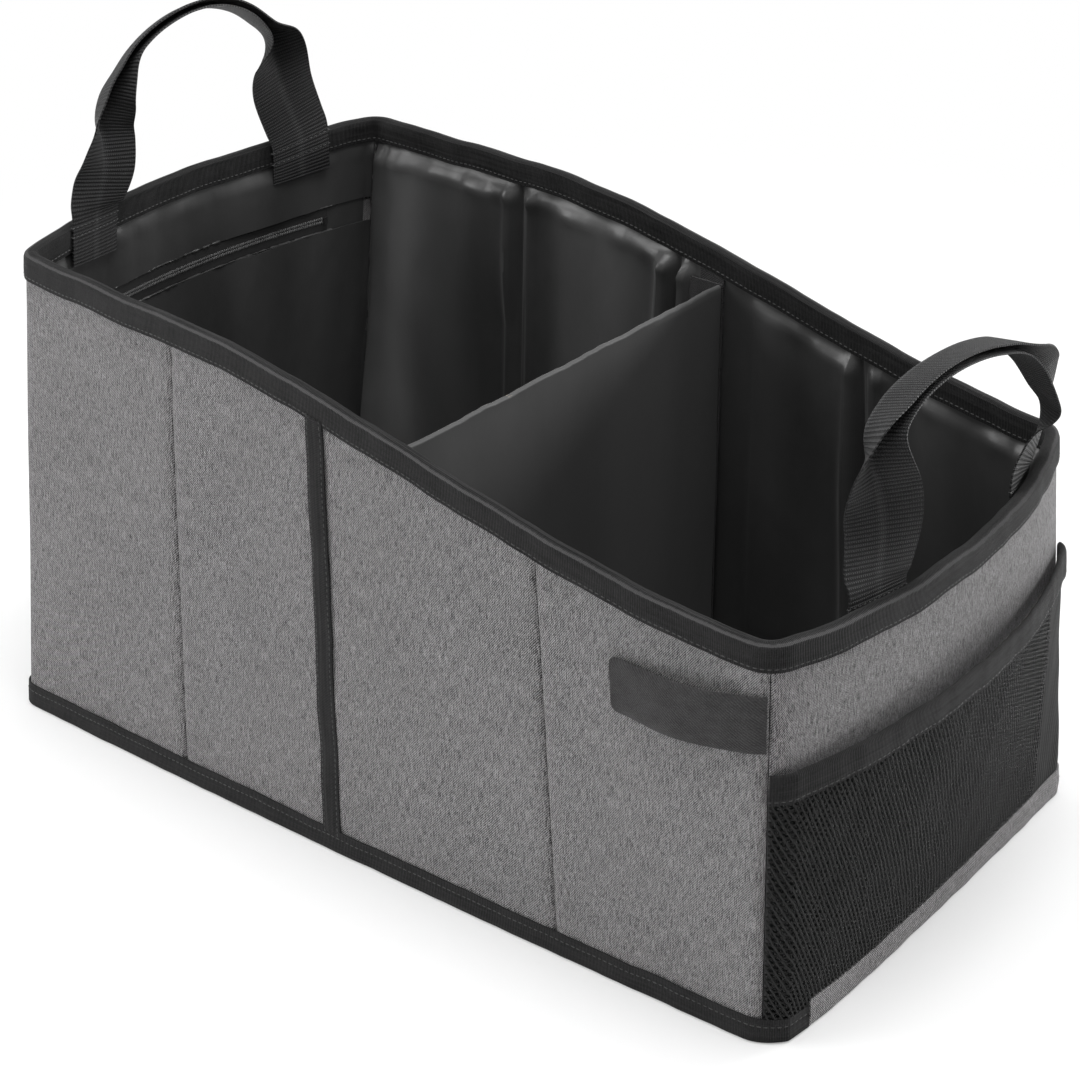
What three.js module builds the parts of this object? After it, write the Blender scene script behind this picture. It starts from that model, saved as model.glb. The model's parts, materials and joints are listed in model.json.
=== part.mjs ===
// A collapsible fabric organizer for the back seat or boot of a car.
// Four stiffened walls stand on a folding base, with a removable divider across the middle, a
// zipped pocket inside the tall rear end, a mesh pocket outside the low front end, two webbing
// handles and a hook-and-loop closing strap.
//
// Units are millimetres. +X runs from the tall rear end to the low front end, +Y from the near
// long wall to the far one, and +Z up. The origin is on the floor, in the middle of the base.
import * as THREE from "three";

// Overall size of the case
const CASE_LENGTH = 480;
const CASE_WIDTH = 270;
const REAR_HEIGHT = 257;
const FRONT_HEIGHT = 203;
const CORNER_TRIM = 10;

// The rim falls from the rear height to the front height between these two places
const SLOPE_START_X = -110;
const SLOPE_END_X = 250;

// Layers of a wall, from the outside in
const OUTER_FABRIC = 0.9;
const BOARD = 2.2;
const POCKET_FILM = 0.4;
const LINING = 0.5;
const TAPE = 0.8;
const GAP = 0.3;
const FILM_GAP = 0.35;

// Soft shape: how far each rim corner leans from the base corner under it, and how far each wall
// bows outwards at the base and at the rim, in the order near, front, far, rear
const RIM_LEAN = [
  [12, 15],
  [-1.5, -1.5],
  [-16, -8],
  [14, 12.5],
];
const BASE_BOW = [3, 9.5, 3, 6];
const RIM_BOW = [12, 25, 0, 23];
const BASE_BOW_POWER = [2, 2, 2, 2];
// Below 1, the base's bow is fullest near the start of the wall
const BASE_BOW_SKEW = [1, 0.4, 1, 1];
const RIM_BOW_POWER = [2, 2.2, 2, 2];

// Fold lines of the long walls at the base, and how far they slip along the wall by the rim
const FOLD_X = [-116, -13, 126];
const NEAR_FOLD_SLIP = [-4, -5, -13];
const FAR_FOLD_SLIP = [-4, 10, -6];
const FOLD_GAP = 4;
const SEAM_GAP = 0.4;

// Tapes and bindings
const RIM_BINDING_HEIGHT = 13;
const BOTTOM_BINDING_HEIGHT = 13;
const BOTTOM_BINDING_LIP = 6;
const CENTRE_BINDING_WIDTH = 11;
const FRONT_STRIP_START = 24;

// Mesh pocket on the front end
const POCKET_HEIGHT = 142;
const POCKET_RISE = 6;
const POCKET_BULGE = 9;
const POCKET_TAPE_HEIGHT = 14.5;
const MESH = 0.9;

// Zipped pocket inside the rear end
const ZIP_HEIGHT = 204;
const ZIP_HALF_LENGTH = 100;
const ZIP_TAPE_WIDTH = 6.5;
const ZIP_COIL_WIDTH = 1.7;
const ZIP_COIL_DEPTH = 1.2;
const ZIP_STOP_LENGTH = 2.5;
const SLIDER_LENGTH = 12;
const SLIDER_WIDTH = 9;
const SLIDER_PLATE = 1.3;
const SLIDER_CLEARANCE = 0.6;
const CROWN_HEIGHT = 3.2;
const CROWN_WIDTH = 1.6;
const PULL_LENGTH = 24;
const PULL_WIDTH = 6.5;
const PULL_THICKNESS = 1.2;
const PULL_EYE = 3;

// Handles of folded webbing
const WEBBING_WIDTH = 38;
const WEBBING = 1.5;
const REAR_HANDLE_SPAN = 160;
const REAR_HANDLE_PLACE = 0.5;
const FRONT_HANDLE_SPAN = 147;
const FRONT_HANDLE_PLACE = 0.52;
const HANDLE_TAIL = 22;
const HANDLE_EASE = 1.1;

// Divider
const DIVIDER_X = 23;
const DIVIDER_TOP = 224;
const DIVIDER_BOARD = 2;
const FLAP_WIDTH = 19;
const FLAP = 1.1;

// Closing strap at the front corner of the near wall
const STRAP_FREE_X = 165;
const STRAP_WIDTH = 27.5;
const STRAP_LOW_Z = 147;
const STRAP_CLIMB = 5;
const STRAP = 1.6;
const STRAP_BULGE = 4;
const HOOK_PATCH_LENGTH = 26;

// Depths of the layers below the outer face of the case, worked out from the sheets above
const BOARD_FACE = OUTER_FABRIC + GAP;
const BOARD_BACK = BOARD_FACE + BOARD;
const FILM_FACE = BOARD_BACK + FILM_GAP;
const LINING_FACE = FILM_FACE + POCKET_FILM + FILM_GAP;
const LINING_BACK = LINING_FACE + LINING;
const TAPE_FACE = LINING_BACK + GAP;
const TAPE_BACK = TAPE_FACE + TAPE;
const LOOSE_FACE = TAPE_BACK + GAP;

// Heights of the layers of the base
const WALL_LOW = TAPE + GAP;
const BASE_BOARD_Z = OUTER_FABRIC + GAP;
const BASE_BOARD_TOP = BASE_BOARD_Z + BOARD;
const FLOOR_Z = BASE_BOARD_TOP + GAP;
const FLOOR_TOP = FLOOR_Z + LINING;

// Walls by number, as the outline runs round the case seen from above
const NEAR = 0;
const FRONT = 1;
const FAR = 2;
const REAR = 3;
const BASE_CORNERS = [
  [-CASE_LENGTH / 2, -CASE_WIDTH / 2],
  [CASE_LENGTH / 2, -CASE_WIDTH / 2],
  [CASE_LENGTH / 2, CASE_WIDTH / 2],
  [-CASE_LENGTH / 2, CASE_WIDTH / 2],
];
const WALL_LENGTH = [CASE_LENGTH, CASE_WIDTH, CASE_LENGTH, CASE_WIDTH];
const WALL_STEPS = [10, 12, 10, 12];
const CORNER_STEPS = 4;
const ROWS = 6;

const mix = (a, b, t) => a + (b - a) * t;
const clamp01 = (t) => Math.min(1, Math.max(0, t));
const smooth = (t) => clamp01(t) ** 2 * (3 - 2 * clamp01(t));

// A place on the outline is one number, q: its whole part is the wall, and its fraction the share
// of that wall passed so far.
const nearAt = (x) => NEAR + 0.5 + x / CASE_LENGTH;
const farAt = (x) => FAR + 0.5 - x / CASE_LENGTH;
const rearAt = (y) => REAR + 0.5 - y / CASE_WIDTH;

// Height of the rim above the floor at a length x.
function rimAt(x) {
  const fall = smooth((x - SLOPE_START_X) / (SLOPE_END_X - SLOPE_START_X));
  return mix(REAR_HEIGHT, FRONT_HEIGHT, fall);
}

// Slip of the fold lines along a long wall at the rim, between one fold and the next.
function foldSlip(wall, t) {
  if (wall === FRONT || wall === REAR) return 0;
  const slip = wall === NEAR ? NEAR_FOLD_SLIP : FAR_FOLD_SLIP;
  const x = (t - 0.5) * CASE_LENGTH * (wall === NEAR ? 1 : -1);
  const xs = [-CASE_LENGTH / 2, ...FOLD_X, CASE_LENGTH / 2];
  const slips = [0, ...slip, 0];
  const last = xs.findIndex((edge) => x <= edge + 1e-9);
  const i = Math.max(1, last);
  const moved = mix(slips[i - 1], slips[i], (x - xs[i - 1]) / (xs[i] - xs[i - 1]));
  return (moved / CASE_LENGTH) * (wall === NEAR ? 1 : -1);
}

function cornerAt(corner, level) {
  const k = corner % 4;
  return new THREE.Vector2(
    BASE_CORNERS[k][0] + RIM_LEAN[k][0] * level,
    BASE_CORNERS[k][1] + RIM_LEAN[k][1] * level,
  );
}

// The outer face of one wall in plan, at level 0 for the base and 1 for the rim.
function wallInPlan(wall, t, level) {
  const from = cornerAt(wall, level);
  const along = cornerAt(wall + 1, level).sub(from);
  const outwards = new THREE.Vector2(along.y, -along.x).normalize();
  const power = mix(BASE_BOW_POWER[wall], RIM_BOW_POWER[wall], level);
  const bow = mix(BASE_BOW[wall], RIM_BOW[wall], level);
  const place = t + foldSlip(wall, t) * level;
  const crest = place ** mix(BASE_BOW_SKEW[wall], 1, level);
  const swell = bow * (1 - Math.abs(2 * crest - 1) ** power);
  return from.addScaledVector(along, place).addScaledVector(outwards, swell);
}

// The whole outline in plan, with its four corners rounded by a short curve.
function outline(q, level) {
  const wall = ((Math.floor(q) % 4) + 4) % 4;
  const t = q - Math.floor(q);
  const trim = CORNER_TRIM / WALL_LENGTH[wall];
  if (t >= trim && t <= 1 - trim) return wallInPlan(wall, t, level);
  const atEnd = t > 0.5;
  const before = atEnd ? wall : (wall + 3) % 4;
  const after = (before + 1) % 4;
  const start = wallInPlan(before, 1 - CORNER_TRIM / WALL_LENGTH[before], level);
  const end = wallInPlan(after, CORNER_TRIM / WALL_LENGTH[after], level);
  const corner = cornerAt(after, level);
  const turn = atEnd ? 0.5 - (0.5 * (1 - t)) / trim : 0.5 + (0.5 * t) / trim;
  return start
    .multiplyScalar((1 - turn) ** 2)
    .addScaledVector(corner, 2 * turn * (1 - turn))
    .addScaledVector(end, turn ** 2);
}

// The case is faceted at upright columns round its outline. All layers change direction at the
// same columns and levels, so layers that lie on each other never cross.
const PLACES = [];
for (let wall = 0; wall < 4; wall++) {
  const trim = CORNER_TRIM / WALL_LENGTH[wall];
  const nextTrim = CORNER_TRIM / WALL_LENGTH[(wall + 1) % 4];
  for (let i = 0; i <= WALL_STEPS[wall]; i++) {
    PLACES.push(wall + mix(trim, 1 - trim, i / WALL_STEPS[wall]));
  }
  for (let i = 1; i < CORNER_STEPS; i++) {
    const turn = i / CORNER_STEPS - 0.5;
    PLACES.push((wall + 1 + 2 * turn * (turn < 0 ? trim : nextTrim)) % 4);
  }
}
PLACES.sort((a, b) => a - b);

function inwardsAt(q, level) {
  const step = 0.002;
  const ahead = outline(q + step, level);
  const behind = outline(q - step, level);
  return new THREE.Vector2(behind.y - ahead.y, ahead.x - behind.x).normalize();
}

const COLUMNS = PLACES.map((q) => ({
  base: outline(q, 0),
  rim: outline(q, 1),
  baseInwards: inwardsAt(q, 0),
  rimInwards: inwardsAt(q, 1),
  height: rimAt(outline(q, 1).x),
}));

// The two columns round a place, and the share of the way from one to the other.
function columnsAt(q) {
  const turn = ((q % 4) + 4) % 4;
  const after = PLACES.findIndex((place) => place > turn);
  const next = after < 0 ? 0 : after;
  const last = (next + PLACES.length - 1) % PLACES.length;
  const from = PLACES[last] - (next === 0 && turn < PLACES[0] ? 4 : 0);
  const to = PLACES[next] + (next === 0 && turn >= PLACES[0] ? 4 : 0);
  return [COLUMNS[last], COLUMNS[next], (turn - from) / (to - from)];
}

function rimHeight(q) {
  const [last, next, share] = columnsAt(q);
  return mix(last.height, next.height, share);
}

// The point at outline place q, height z and depth below the outer face.
function wallPoint(q, z, depth) {
  const [last, next, share] = columnsAt(q);
  const at = ({ base, rim, baseInwards, rimInwards, height }) => {
    const low = base.clone().addScaledVector(baseInwards, depth);
    const high = rim.clone().addScaledVector(rimInwards, depth);
    return low.lerp(high, z / height);
  };
  const point = at(last).lerp(at(next), share);
  return new THREE.Vector3(point.x, point.y, z);
}

function stations(from, to) {
  const least = 0.5 / CASE_LENGTH;
  const between = [...PLACES, ...PLACES.map((q) => q + 4)].filter(
    (q) => q > from + least && q < to - least,
  );
  return [from, ...between, to];
}

// A closed body from a row of sections. Each section is the same polygon of [across, up] pairs,
// anticlockwise seen against the direction of travel, with its place in space. The diagonal of
// each facet rises along the direction of travel, so layers that face each other match.
function loft(sections, ring = false) {
  const count = sections[0].flat.length;
  const vertices = sections.flatMap((section) => section.points);
  const triangles = [];
  const last = ring ? sections.length : sections.length - 1;
  for (let s = 0; s < last; s++) {
    const here = s * count;
    const next = ((s + 1) % sections.length) * count;
    for (let i = 0; i < count; i++) {
      const j = (i + 1) % count;
      if (sections[s].flat[i].y <= sections[s].flat[j].y) {
        triangles.push(here + i, here + j, next + j, here + i, next + j, next + i);
      } else {
        triangles.push(here + i, here + j, next + i, here + j, next + j, next + i);
      }
    }
  }
  if (!ring) {
    const cap = (section, base, flip) => {
      for (const [a, b, c] of THREE.ShapeUtils.triangulateShape(section.flat, [])) {
        triangles.push(base + a, base + (flip ? c : b), base + (flip ? b : c));
      }
    };
    cap(sections[0], 0, true);
    cap(sections.at(-1), (sections.length - 1) * count, false);
  }
  const geometry = new THREE.BufferGeometry().setFromPoints(vertices);
  geometry.setIndex(triangles);
  geometry.computeVertexNormals();
  return geometry;
}

// A body that follows the wall: profile(q) gives its section there as [depth, z] pairs.
function alongWall(from, to, profile, ring = false) {
  const places = ring ? PLACES : stations(from, to);
  return loft(
    places.map((q) => {
      const pairs = profile(q);
      return {
        flat: pairs.map(([depth, z]) => new THREE.Vector2(depth, z)),
        points: pairs.map(([depth, z]) => wallPoint(q, z, depth)),
      };
    }),
    ring,
  );
}

// A sheet that lies in the wall between two depths and two heights, with a row of facets at each
// common level that it crosses.
function sheet(from, to, low, high, face, back) {
  const at = (value, q) => (typeof value === "function" ? value(q) : value);
  const middle = (from + to) / 2;
  const tall = rimHeight(middle);
  const levels = Array.from({ length: ROWS - 1 }, (_, i) => (i + 1) / ROWS).filter(
    (level) => level * tall > at(low, middle) + 2 && level * tall < at(high, middle) - 2,
  );
  return alongWall(from, to, (q) => {
    const heights = [at(low, q), ...levels.map((level) => level * rimHeight(q)), at(high, q)];
    const outside = heights.map((z) => [face, z]);
    const inside = heights.map((z) => [back, z]);
    return [...inside, ...outside.reverse()];
  });
}

// A tape folded over an upper edge: two legs joined by a cap, open below.
function foldedOver(top, height, outside, inside) {
  return [
    [outside - TAPE, top - height],
    [outside, top - height],
    [outside, top - TAPE],
    [inside, top - TAPE],
    [inside, top - height],
    [inside + TAPE, top - height],
    [inside + TAPE, top - TAPE / 2],
    [inside, top],
    [outside, top],
    [outside - TAPE, top - TAPE / 2],
  ];
}

// A flat plate inside the walls, as wide as the outline is at its upper face, clipped to a
// range of x.
function basePlate(depth, low, high, fromX = -Infinity, toX = Infinity) {
  const loop = PLACES.map((q) => wallPoint(q, high, depth));
  const kept = [];
  loop.forEach((point, i) => {
    const next = loop[(i + 1) % loop.length];
    if (point.x >= fromX && point.x <= toX) kept.push(new THREE.Vector2(point.x, point.y));
    for (const edge of [fromX, toX]) {
      if ((point.x - edge) * (next.x - edge) >= 0) continue;
      const t = (edge - point.x) / (next.x - point.x);
      kept.push(new THREE.Vector2(edge, mix(point.y, next.y, t)));
    }
  });
  const plate = new THREE.ExtrudeGeometry(new THREE.Shape(kept), {
    depth: high - low,
    bevelEnabled: false,
  });
  return plate.translate(0, 0, low);
}

// Materials
const finish = (color, roughness, metalness = 0) => ({ color, roughness, metalness });
const HEATHER = finish(0x77767a, 0.95);
const GROSGRAIN = finish(0x3a3b3d, 0.85);
const TAFFETA = finish(0x232325, 0.45);
const FIBREBOARD = finish(0x9a8a70, 0.9);
const NETTING = finish(0x2c2d2f, 0.8);
const STRAP_WEBBING = finish(0x35363a, 0.8);
const FASTENER = finish(0x2b2b2d, 0.95);
const NYLON = finish(0x1d1d1f, 0.55);
const ZINC = finish(0x2a2a2c, 0.35, 0.8);

const organizer = new THREE.Group();
organizer.name = "back_seat_organizer";

function add(name, geometry, look) {
  const mesh = new THREE.Mesh(geometry, new THREE.MeshStandardMaterial(look));
  mesh.name = name;
  organizer.add(mesh);
  return mesh;
}

const fabricTop = (q) => rimHeight(q) - TAPE - GAP;
const seam = (q, side) => q + (side * SEAM_GAP) / 2 / CASE_LENGTH;

// The outer shell: two fabric panels on each long wall, joined at the centre, and one on each end
function addOuterShell() {
  const centre = FOLD_X[1];
  const panel = (name, from, to) =>
    add(name, sheet(seam(from, 1), seam(to, -1), WALL_LOW, fabricTop, 0, OUTER_FABRIC), HEATHER);
  panel("near_rear_outer_panel", NEAR, nearAt(centre));
  panel("near_front_outer_panel", nearAt(centre), FRONT);
  panel("front_outer_panel", FRONT, FAR);
  panel("far_front_outer_panel", FAR, farAt(centre));
  panel("far_rear_outer_panel", farAt(centre), REAR);
  panel("rear_outer_panel", REAR, REAR + 1);
}

// Stiffening boards sewn in between the folds
function addWallBoards() {
  const board = (name, from, to) =>
    add(name, sheet(from, to, BASE_BOARD_Z, fabricTop, BOARD_FACE, BOARD_BACK), FIBREBOARD);
  const edge = (CORNER_TRIM + FOLD_GAP / 2) / CASE_LENGTH;
  const half = FOLD_GAP / 2;
  const xs = [-CASE_LENGTH / 2, ...FOLD_X, CASE_LENGTH / 2];
  for (let i = 0; i < 4; i++) {
    const rearX = i === 0 ? xs[0] + edge * CASE_LENGTH : xs[i] + half;
    const frontX = i === 3 ? xs[4] - edge * CASE_LENGTH : xs[i + 1] - half;
    board(`near_wall_board_${i + 1}`, nearAt(rearX), nearAt(frontX));
    board(`far_wall_board_${i + 1}`, farAt(frontX), farAt(rearX));
  }
  const endEdge = (CORNER_TRIM + FOLD_GAP / 2) / CASE_WIDTH;
  board("front_wall_board", FRONT + endEdge, FAR - endEdge);
  board("rear_wall_board", REAR + endEdge, REAR + 1 - endEdge);
}

// Lining of the long walls and of the front end
function addLining() {
  const lining = (name, wall) =>
    add(
      name,
      sheet(seam(wall, 1), seam(wall + 1, -1), FLOOR_Z, fabricTop, LINING_FACE, LINING_BACK),
      TAFFETA,
    );
  lining("near_lining", NEAR);
  lining("front_lining", FRONT);
  lining("far_lining", FAR);
}

// The base: an outer cover, two boards that fold up at the centre line, and the floor lining
function addBase() {
  const fold = FOLD_X[1];
  add("base_cover", basePlate(BOTTOM_BINDING_LIP + GAP, 0, OUTER_FABRIC), HEATHER);
  const depth = BOARD_BACK + GAP;
  const board = (name, fromX, toX) =>
    add(name, basePlate(depth, BASE_BOARD_Z, BASE_BOARD_TOP, fromX, toX), FIBREBOARD);
  board("rear_base_board", -Infinity, fold - FOLD_GAP / 2);
  board("front_base_board", fold + FOLD_GAP / 2, Infinity);
  add("floor_lining", basePlate(TAPE_BACK, FLOOR_Z, FLOOR_TOP), TAFFETA);
}

// Section of the tape folded round the bottom edge: a leg up the wall and a lip under the base.
function bottomTape() {
  return [
    [-GAP - TAPE, TAPE / 2],
    [-GAP, 0],
    [BOTTOM_BINDING_LIP, 0],
    [BOTTOM_BINDING_LIP, TAPE],
    [-GAP, TAPE],
    [-GAP, BOTTOM_BINDING_HEIGHT],
    [-GAP - TAPE, BOTTOM_BINDING_HEIGHT],
  ];
}

// Bindings: the rim tape, the bottom tape with a plain fabric strip along the front, and the
// upright tapes over the centre seams
function addBindings() {
  const rim = (q) => foldedOver(rimHeight(q), RIM_BINDING_HEIGHT, -GAP, TAPE_FACE);
  add("rim_binding", alongWall(0, 4, rim, true), GROSGRAIN);
  const strip = FRONT_STRIP_START / CASE_WIDTH;
  add("bottom_binding", alongWall(FAR, FRONT + 4 + strip, bottomTape), GROSGRAIN);
  const cut = seam(FRONT + strip, 2);
  add("front_bottom_strip", alongWall(cut, seam(FAR, -2), bottomTape), HEATHER);
  const half = CENTRE_BINDING_WIDTH / 2;
  const low = BOTTOM_BINDING_HEIGHT + GAP;
  const high = (q) => rimHeight(q) - RIM_BINDING_HEIGHT - GAP;
  const [, fold] = FOLD_X;
  const upright = (from, to) => sheet(from, to, low, high, -GAP - TAPE, -GAP);
  add("near_centre_binding", upright(nearAt(fold - half), nearAt(fold + half)), GROSGRAIN);
  add("far_centre_binding", upright(farAt(fold + half), farAt(fold - half)), GROSGRAIN);
}

// How far the mesh stands off the front wall, and the height of its upper edge.
function pocketSwell(q, z) {
  const t = clamp01(q - FRONT);
  const up = clamp01((z - BOTTOM_BINDING_HEIGHT) / (POCKET_HEIGHT - BOTTOM_BINDING_HEIGHT));
  return POCKET_BULGE * Math.sin(Math.PI * t) * Math.sin((Math.PI / 2) * up ** 0.8);
}

const pocketTop = (q) => POCKET_HEIGHT + POCKET_RISE * Math.sin(Math.PI * clamp01(q - FRONT));

function addMeshPocket() {
  const from = seam(FRONT, 3);
  const to = seam(FAR, -3);
  const rows = 5;
  const low = BOTTOM_BINDING_HEIGHT + GAP;
  const netting = (q) => {
    const high = pocketTop(q) - TAPE - GAP;
    const heights = Array.from({ length: rows + 1 }, (_, i) => mix(low, high, i / rows));
    const face = GAP + TAPE + GAP + MESH;
    return [
      ...heights.map((z) => [MESH - face - pocketSwell(q, z), z]),
      ...heights.reverse().map((z) => [-face - pocketSwell(q, z), z]),
    ];
  };
  add("mesh_pocket", alongWall(from, to, netting), NETTING);
  const tape = (q) => {
    const top = pocketTop(q);
    const inside = -GAP - TAPE - pocketSwell(q, top);
    const outside = inside - GAP - MESH - GAP;
    return foldedOver(top, POCKET_TAPE_HEIGHT, outside, inside);
  };
  add("mesh_pocket_binding", alongWall(from, to, tape), GROSGRAIN);
}

// The rear end's lining is cut for the zip: a strip above it, the pocket's front below it, and
// the pocket's back behind both
function addZippedPocket() {
  const half = ZIP_TAPE_WIDTH + SEAM_GAP / 2;
  const from = seam(REAR, 1);
  const to = seam(REAR + 1, -1);
  const lining = (name, low, high) =>
    add(name, sheet(from, to, low, high, LINING_FACE, LINING_BACK), TAFFETA);
  lining("rear_upper_lining", ZIP_HEIGHT + half + GAP, fabricTop);
  lining("zip_pocket_front", FLOOR_Z, ZIP_HEIGHT - half - GAP);
  const edge = CORNER_TRIM / CASE_WIDTH;
  const top = ZIP_HEIGHT + half;
  const film = FILM_FACE + POCKET_FILM;
  const back = sheet(REAR + edge, REAR + 1 - edge, FLOOR_Z, top, FILM_FACE, film);
  add("zip_pocket_back", back, TAFFETA);
}

// One half of the zip: a tape with a raised coil along its meeting edge. Side is 1 above, -1 below.
function zipTape(side) {
  const from = rearAt(ZIP_HALF_LENGTH);
  const to = rearAt(-ZIP_HALF_LENGTH);
  const edge = ZIP_HEIGHT + (side * SEAM_GAP) / 2;
  const coil = edge + side * ZIP_COIL_WIDTH;
  const far = edge + side * ZIP_TAPE_WIDTH;
  const top = LINING_BACK + ZIP_COIL_DEPTH;
  const section = [
    [LINING_FACE, edge],
    [top - ZIP_COIL_DEPTH / 3, edge],
    [top, mix(edge, coil, 0.5)],
    [top - ZIP_COIL_DEPTH / 3, coil],
    [LINING_BACK, coil],
    [LINING_BACK, far],
    [LINING_FACE, far],
  ];
  return alongWall(from, to, () => (side > 0 ? section : [...section].reverse()));
}

// A frame on the rear wall for the zip's hard parts: x along the zip towards +Y, y up and z
// straight out of the wall into the case.
function placeOnZip(group, y, depth) {
  const q = rearAt(y);
  const point = wallPoint(q, ZIP_HEIGHT, depth);
  const deeper = wallPoint(q, ZIP_HEIGHT, depth + 1);
  const out = deeper.clone().sub(point).normalize();
  const up = new THREE.Vector3(0, 0, 1);
  const along = new THREE.Vector3().crossVectors(up, out);
  group.matrixAutoUpdate = false;
  group.matrix.makeBasis(along, up, out).setPosition(point);
  organizer.add(group);
}

function boxBetween(low, high) {
  const size = high.map((value, i) => value - low[i]);
  const centre = high.map((value, i) => (value + low[i]) / 2);
  return new THREE.BoxGeometry(...size).translate(...centre);
}

function addZip() {
  add("zip_upper_tape", zipTape(1), NYLON);
  add("zip_lower_tape", zipTape(-1), NYLON);
  const stopY = ZIP_HALF_LENGTH - ZIP_STOP_LENGTH;
  const stop = (name, y) => {
    const group = new THREE.Group();
    placeOnZip(group, y, LINING_BACK + ZIP_COIL_DEPTH + GAP);
    const half = ZIP_COIL_WIDTH + SEAM_GAP;
    const body = boxBetween([-ZIP_STOP_LENGTH / 2, -half, 0], [ZIP_STOP_LENGTH / 2, half, 1]);
    group.add(add(name, body, ZINC));
  };
  stop("zip_near_stop", -stopY);
  stop("zip_far_stop", stopY);
}

const SLIDER_Y = -(ZIP_HALF_LENGTH - ZIP_STOP_LENGTH * 2 - SLIDER_LENGTH / 2 - GAP);
const SLIDER_DEPTH = LINING_BACK + SLIDER_CLEARANCE;
const CROWN_BASE = ZIP_COIL_DEPTH + SLIDER_CLEARANCE + SLIDER_PLATE;

// The slider: a channel over both coils with a crown, an arch that holds the pull, on its back
function addSlider() {
  const group = new THREE.Group();
  placeOnZip(group, SLIDER_Y, SLIDER_DEPTH);
  const half = SLIDER_WIDTH / 2;
  const groove = ZIP_COIL_WIDTH + SEAM_GAP / 2 + SLIDER_CLEARANCE;
  const roof = ZIP_COIL_DEPTH + SLIDER_CLEARANCE;
  const crown = CROWN_WIDTH / 2;
  const section = new THREE.Shape(
    [
      [-half, 0],
      [-groove, 0],
      [-groove, roof],
      [groove, roof],
      [groove, 0],
      [half, 0],
      [half, roof + SLIDER_PLATE / 2],
      [half - SLIDER_PLATE / 2, CROWN_BASE],
      [-half + SLIDER_PLATE / 2, CROWN_BASE],
      [-half, roof + SLIDER_PLATE / 2],
    ].map(([x, y]) => new THREE.Vector2(x, y)),
  );
  const body = new THREE.ExtrudeGeometry(section, { depth: SLIDER_LENGTH, bevelEnabled: false });
  body.rotateY(Math.PI / 2).rotateX(Math.PI / 2).translate(-SLIDER_LENGTH / 2, 0, 0);
  group.add(add("zip_slider", body, ZINC));
  const arch = SLIDER_LENGTH * 0.4;
  const outside = [
    [-arch, 0],
    [-arch + 1.2, 0],
    [-arch + 1.8, CROWN_HEIGHT - 1.6],
    [-arch + 2.4, CROWN_HEIGHT - 1.1],
    [arch - 2.4, CROWN_HEIGHT - 1.1],
    [arch - 1.8, CROWN_HEIGHT - 1.6],
    [arch - 1.2, 0],
    [arch, 0],
    [arch - 0.6, CROWN_HEIGHT - 1],
    [arch - 2, CROWN_HEIGHT],
    [-arch + 2, CROWN_HEIGHT],
    [-arch + 0.6, CROWN_HEIGHT - 1],
  ].map(([x, y]) => new THREE.Vector2(x, y));
  const bridge = new THREE.ExtrudeGeometry(new THREE.Shape(outside), {
    depth: CROWN_WIDTH,
    bevelEnabled: false,
  });
  bridge.rotateX(Math.PI / 2).translate(0, crown, CROWN_BASE + 0.01);
  group.add(add("zip_slider_crown", bridge, ZINC));
}

// The pull: a tab with an eye whose end bar runs under the crown
function addPull() {
  const group = new THREE.Group();
  placeOnZip(group, SLIDER_Y, SLIDER_DEPTH + CROWN_BASE + (CROWN_HEIGHT - 1.1) / 2);
  const half = PULL_WIDTH / 2;
  const bar = PULL_THICKNESS / 2;
  const tab = new THREE.Shape();
  tab.moveTo(-bar, -half);
  tab.lineTo(PULL_LENGTH - 2, -half);
  tab.lineTo(PULL_LENGTH, -half + 2);
  tab.lineTo(PULL_LENGTH, half - 2);
  tab.lineTo(PULL_LENGTH - 2, half);
  tab.lineTo(-bar, half);
  tab.closePath();
  const eye = new THREE.Path();
  const room = SLIDER_LENGTH * 0.4 + 1.2;
  eye.moveTo(bar, -PULL_EYE / 2);
  eye.lineTo(bar, PULL_EYE / 2);
  eye.lineTo(room, PULL_EYE / 2);
  eye.lineTo(room, -PULL_EYE / 2);
  eye.closePath();
  tab.holes.push(eye);
  const body = new THREE.ExtrudeGeometry(tab, { depth: PULL_THICKNESS, bevelEnabled: false });
  group.add(add("zip_pull", body.translate(0, 0, -PULL_THICKNESS / 2), ZINC));
}

// Course of each handle's spine above the rim, from its near end to its far end. Each row has the
// place of the spine from the middle between the two ends as [x, y, height], the turn and the tilt
// in degrees of the side that the webbing folds towards, and how far its two halves are folded.
const REAR_COURSE = [
  [0.8, -76, 7, 4, 0, 0, 0],
  [1.3, -73, 16, -6, 0, 0, 0],
  [1.3, -69.5, 26, -8, 0, 0.1, 0],
  [-0.7, -67.8, 38, -10, 0, 0.45, 0],
  [-3.7, -67.3, 49, -12, 2, 0.82, 0.15],
  [-6.7, -60.7, 58.7, -22, 8, 0.95, 0.5],
  [-7.7, -49, 68.1, -34, 16, 1, 0.95],
  [-7.7, -38.4, 76.5, -32, 20, 1, 1],
  [-7.7, -23.5, 83.9, -24, 24, 1, 1],
  [-7.7, -5, 88.5, -12, 24, 1, 1],
  [-7.7, 14.8, 88.5, -4, 20, 1, 1],
  [-7.7, 34.6, 82.1, 0, 8, 1, 1],
  [-7.7, 49.9, 71.8, 0, -4, 1, 1],
  [-5.7, 58.8, 62.8, -6, -4, 0.85, 0.85],
  [-3.7, 62.2, 50.7, -18, 0, 0.2, 0.2],
  [-1.7, 65.9, 31, -16, 0, 0, 0],
  [-0.6, 73.4, 11, -12, 0, 0, 0],
];
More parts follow.
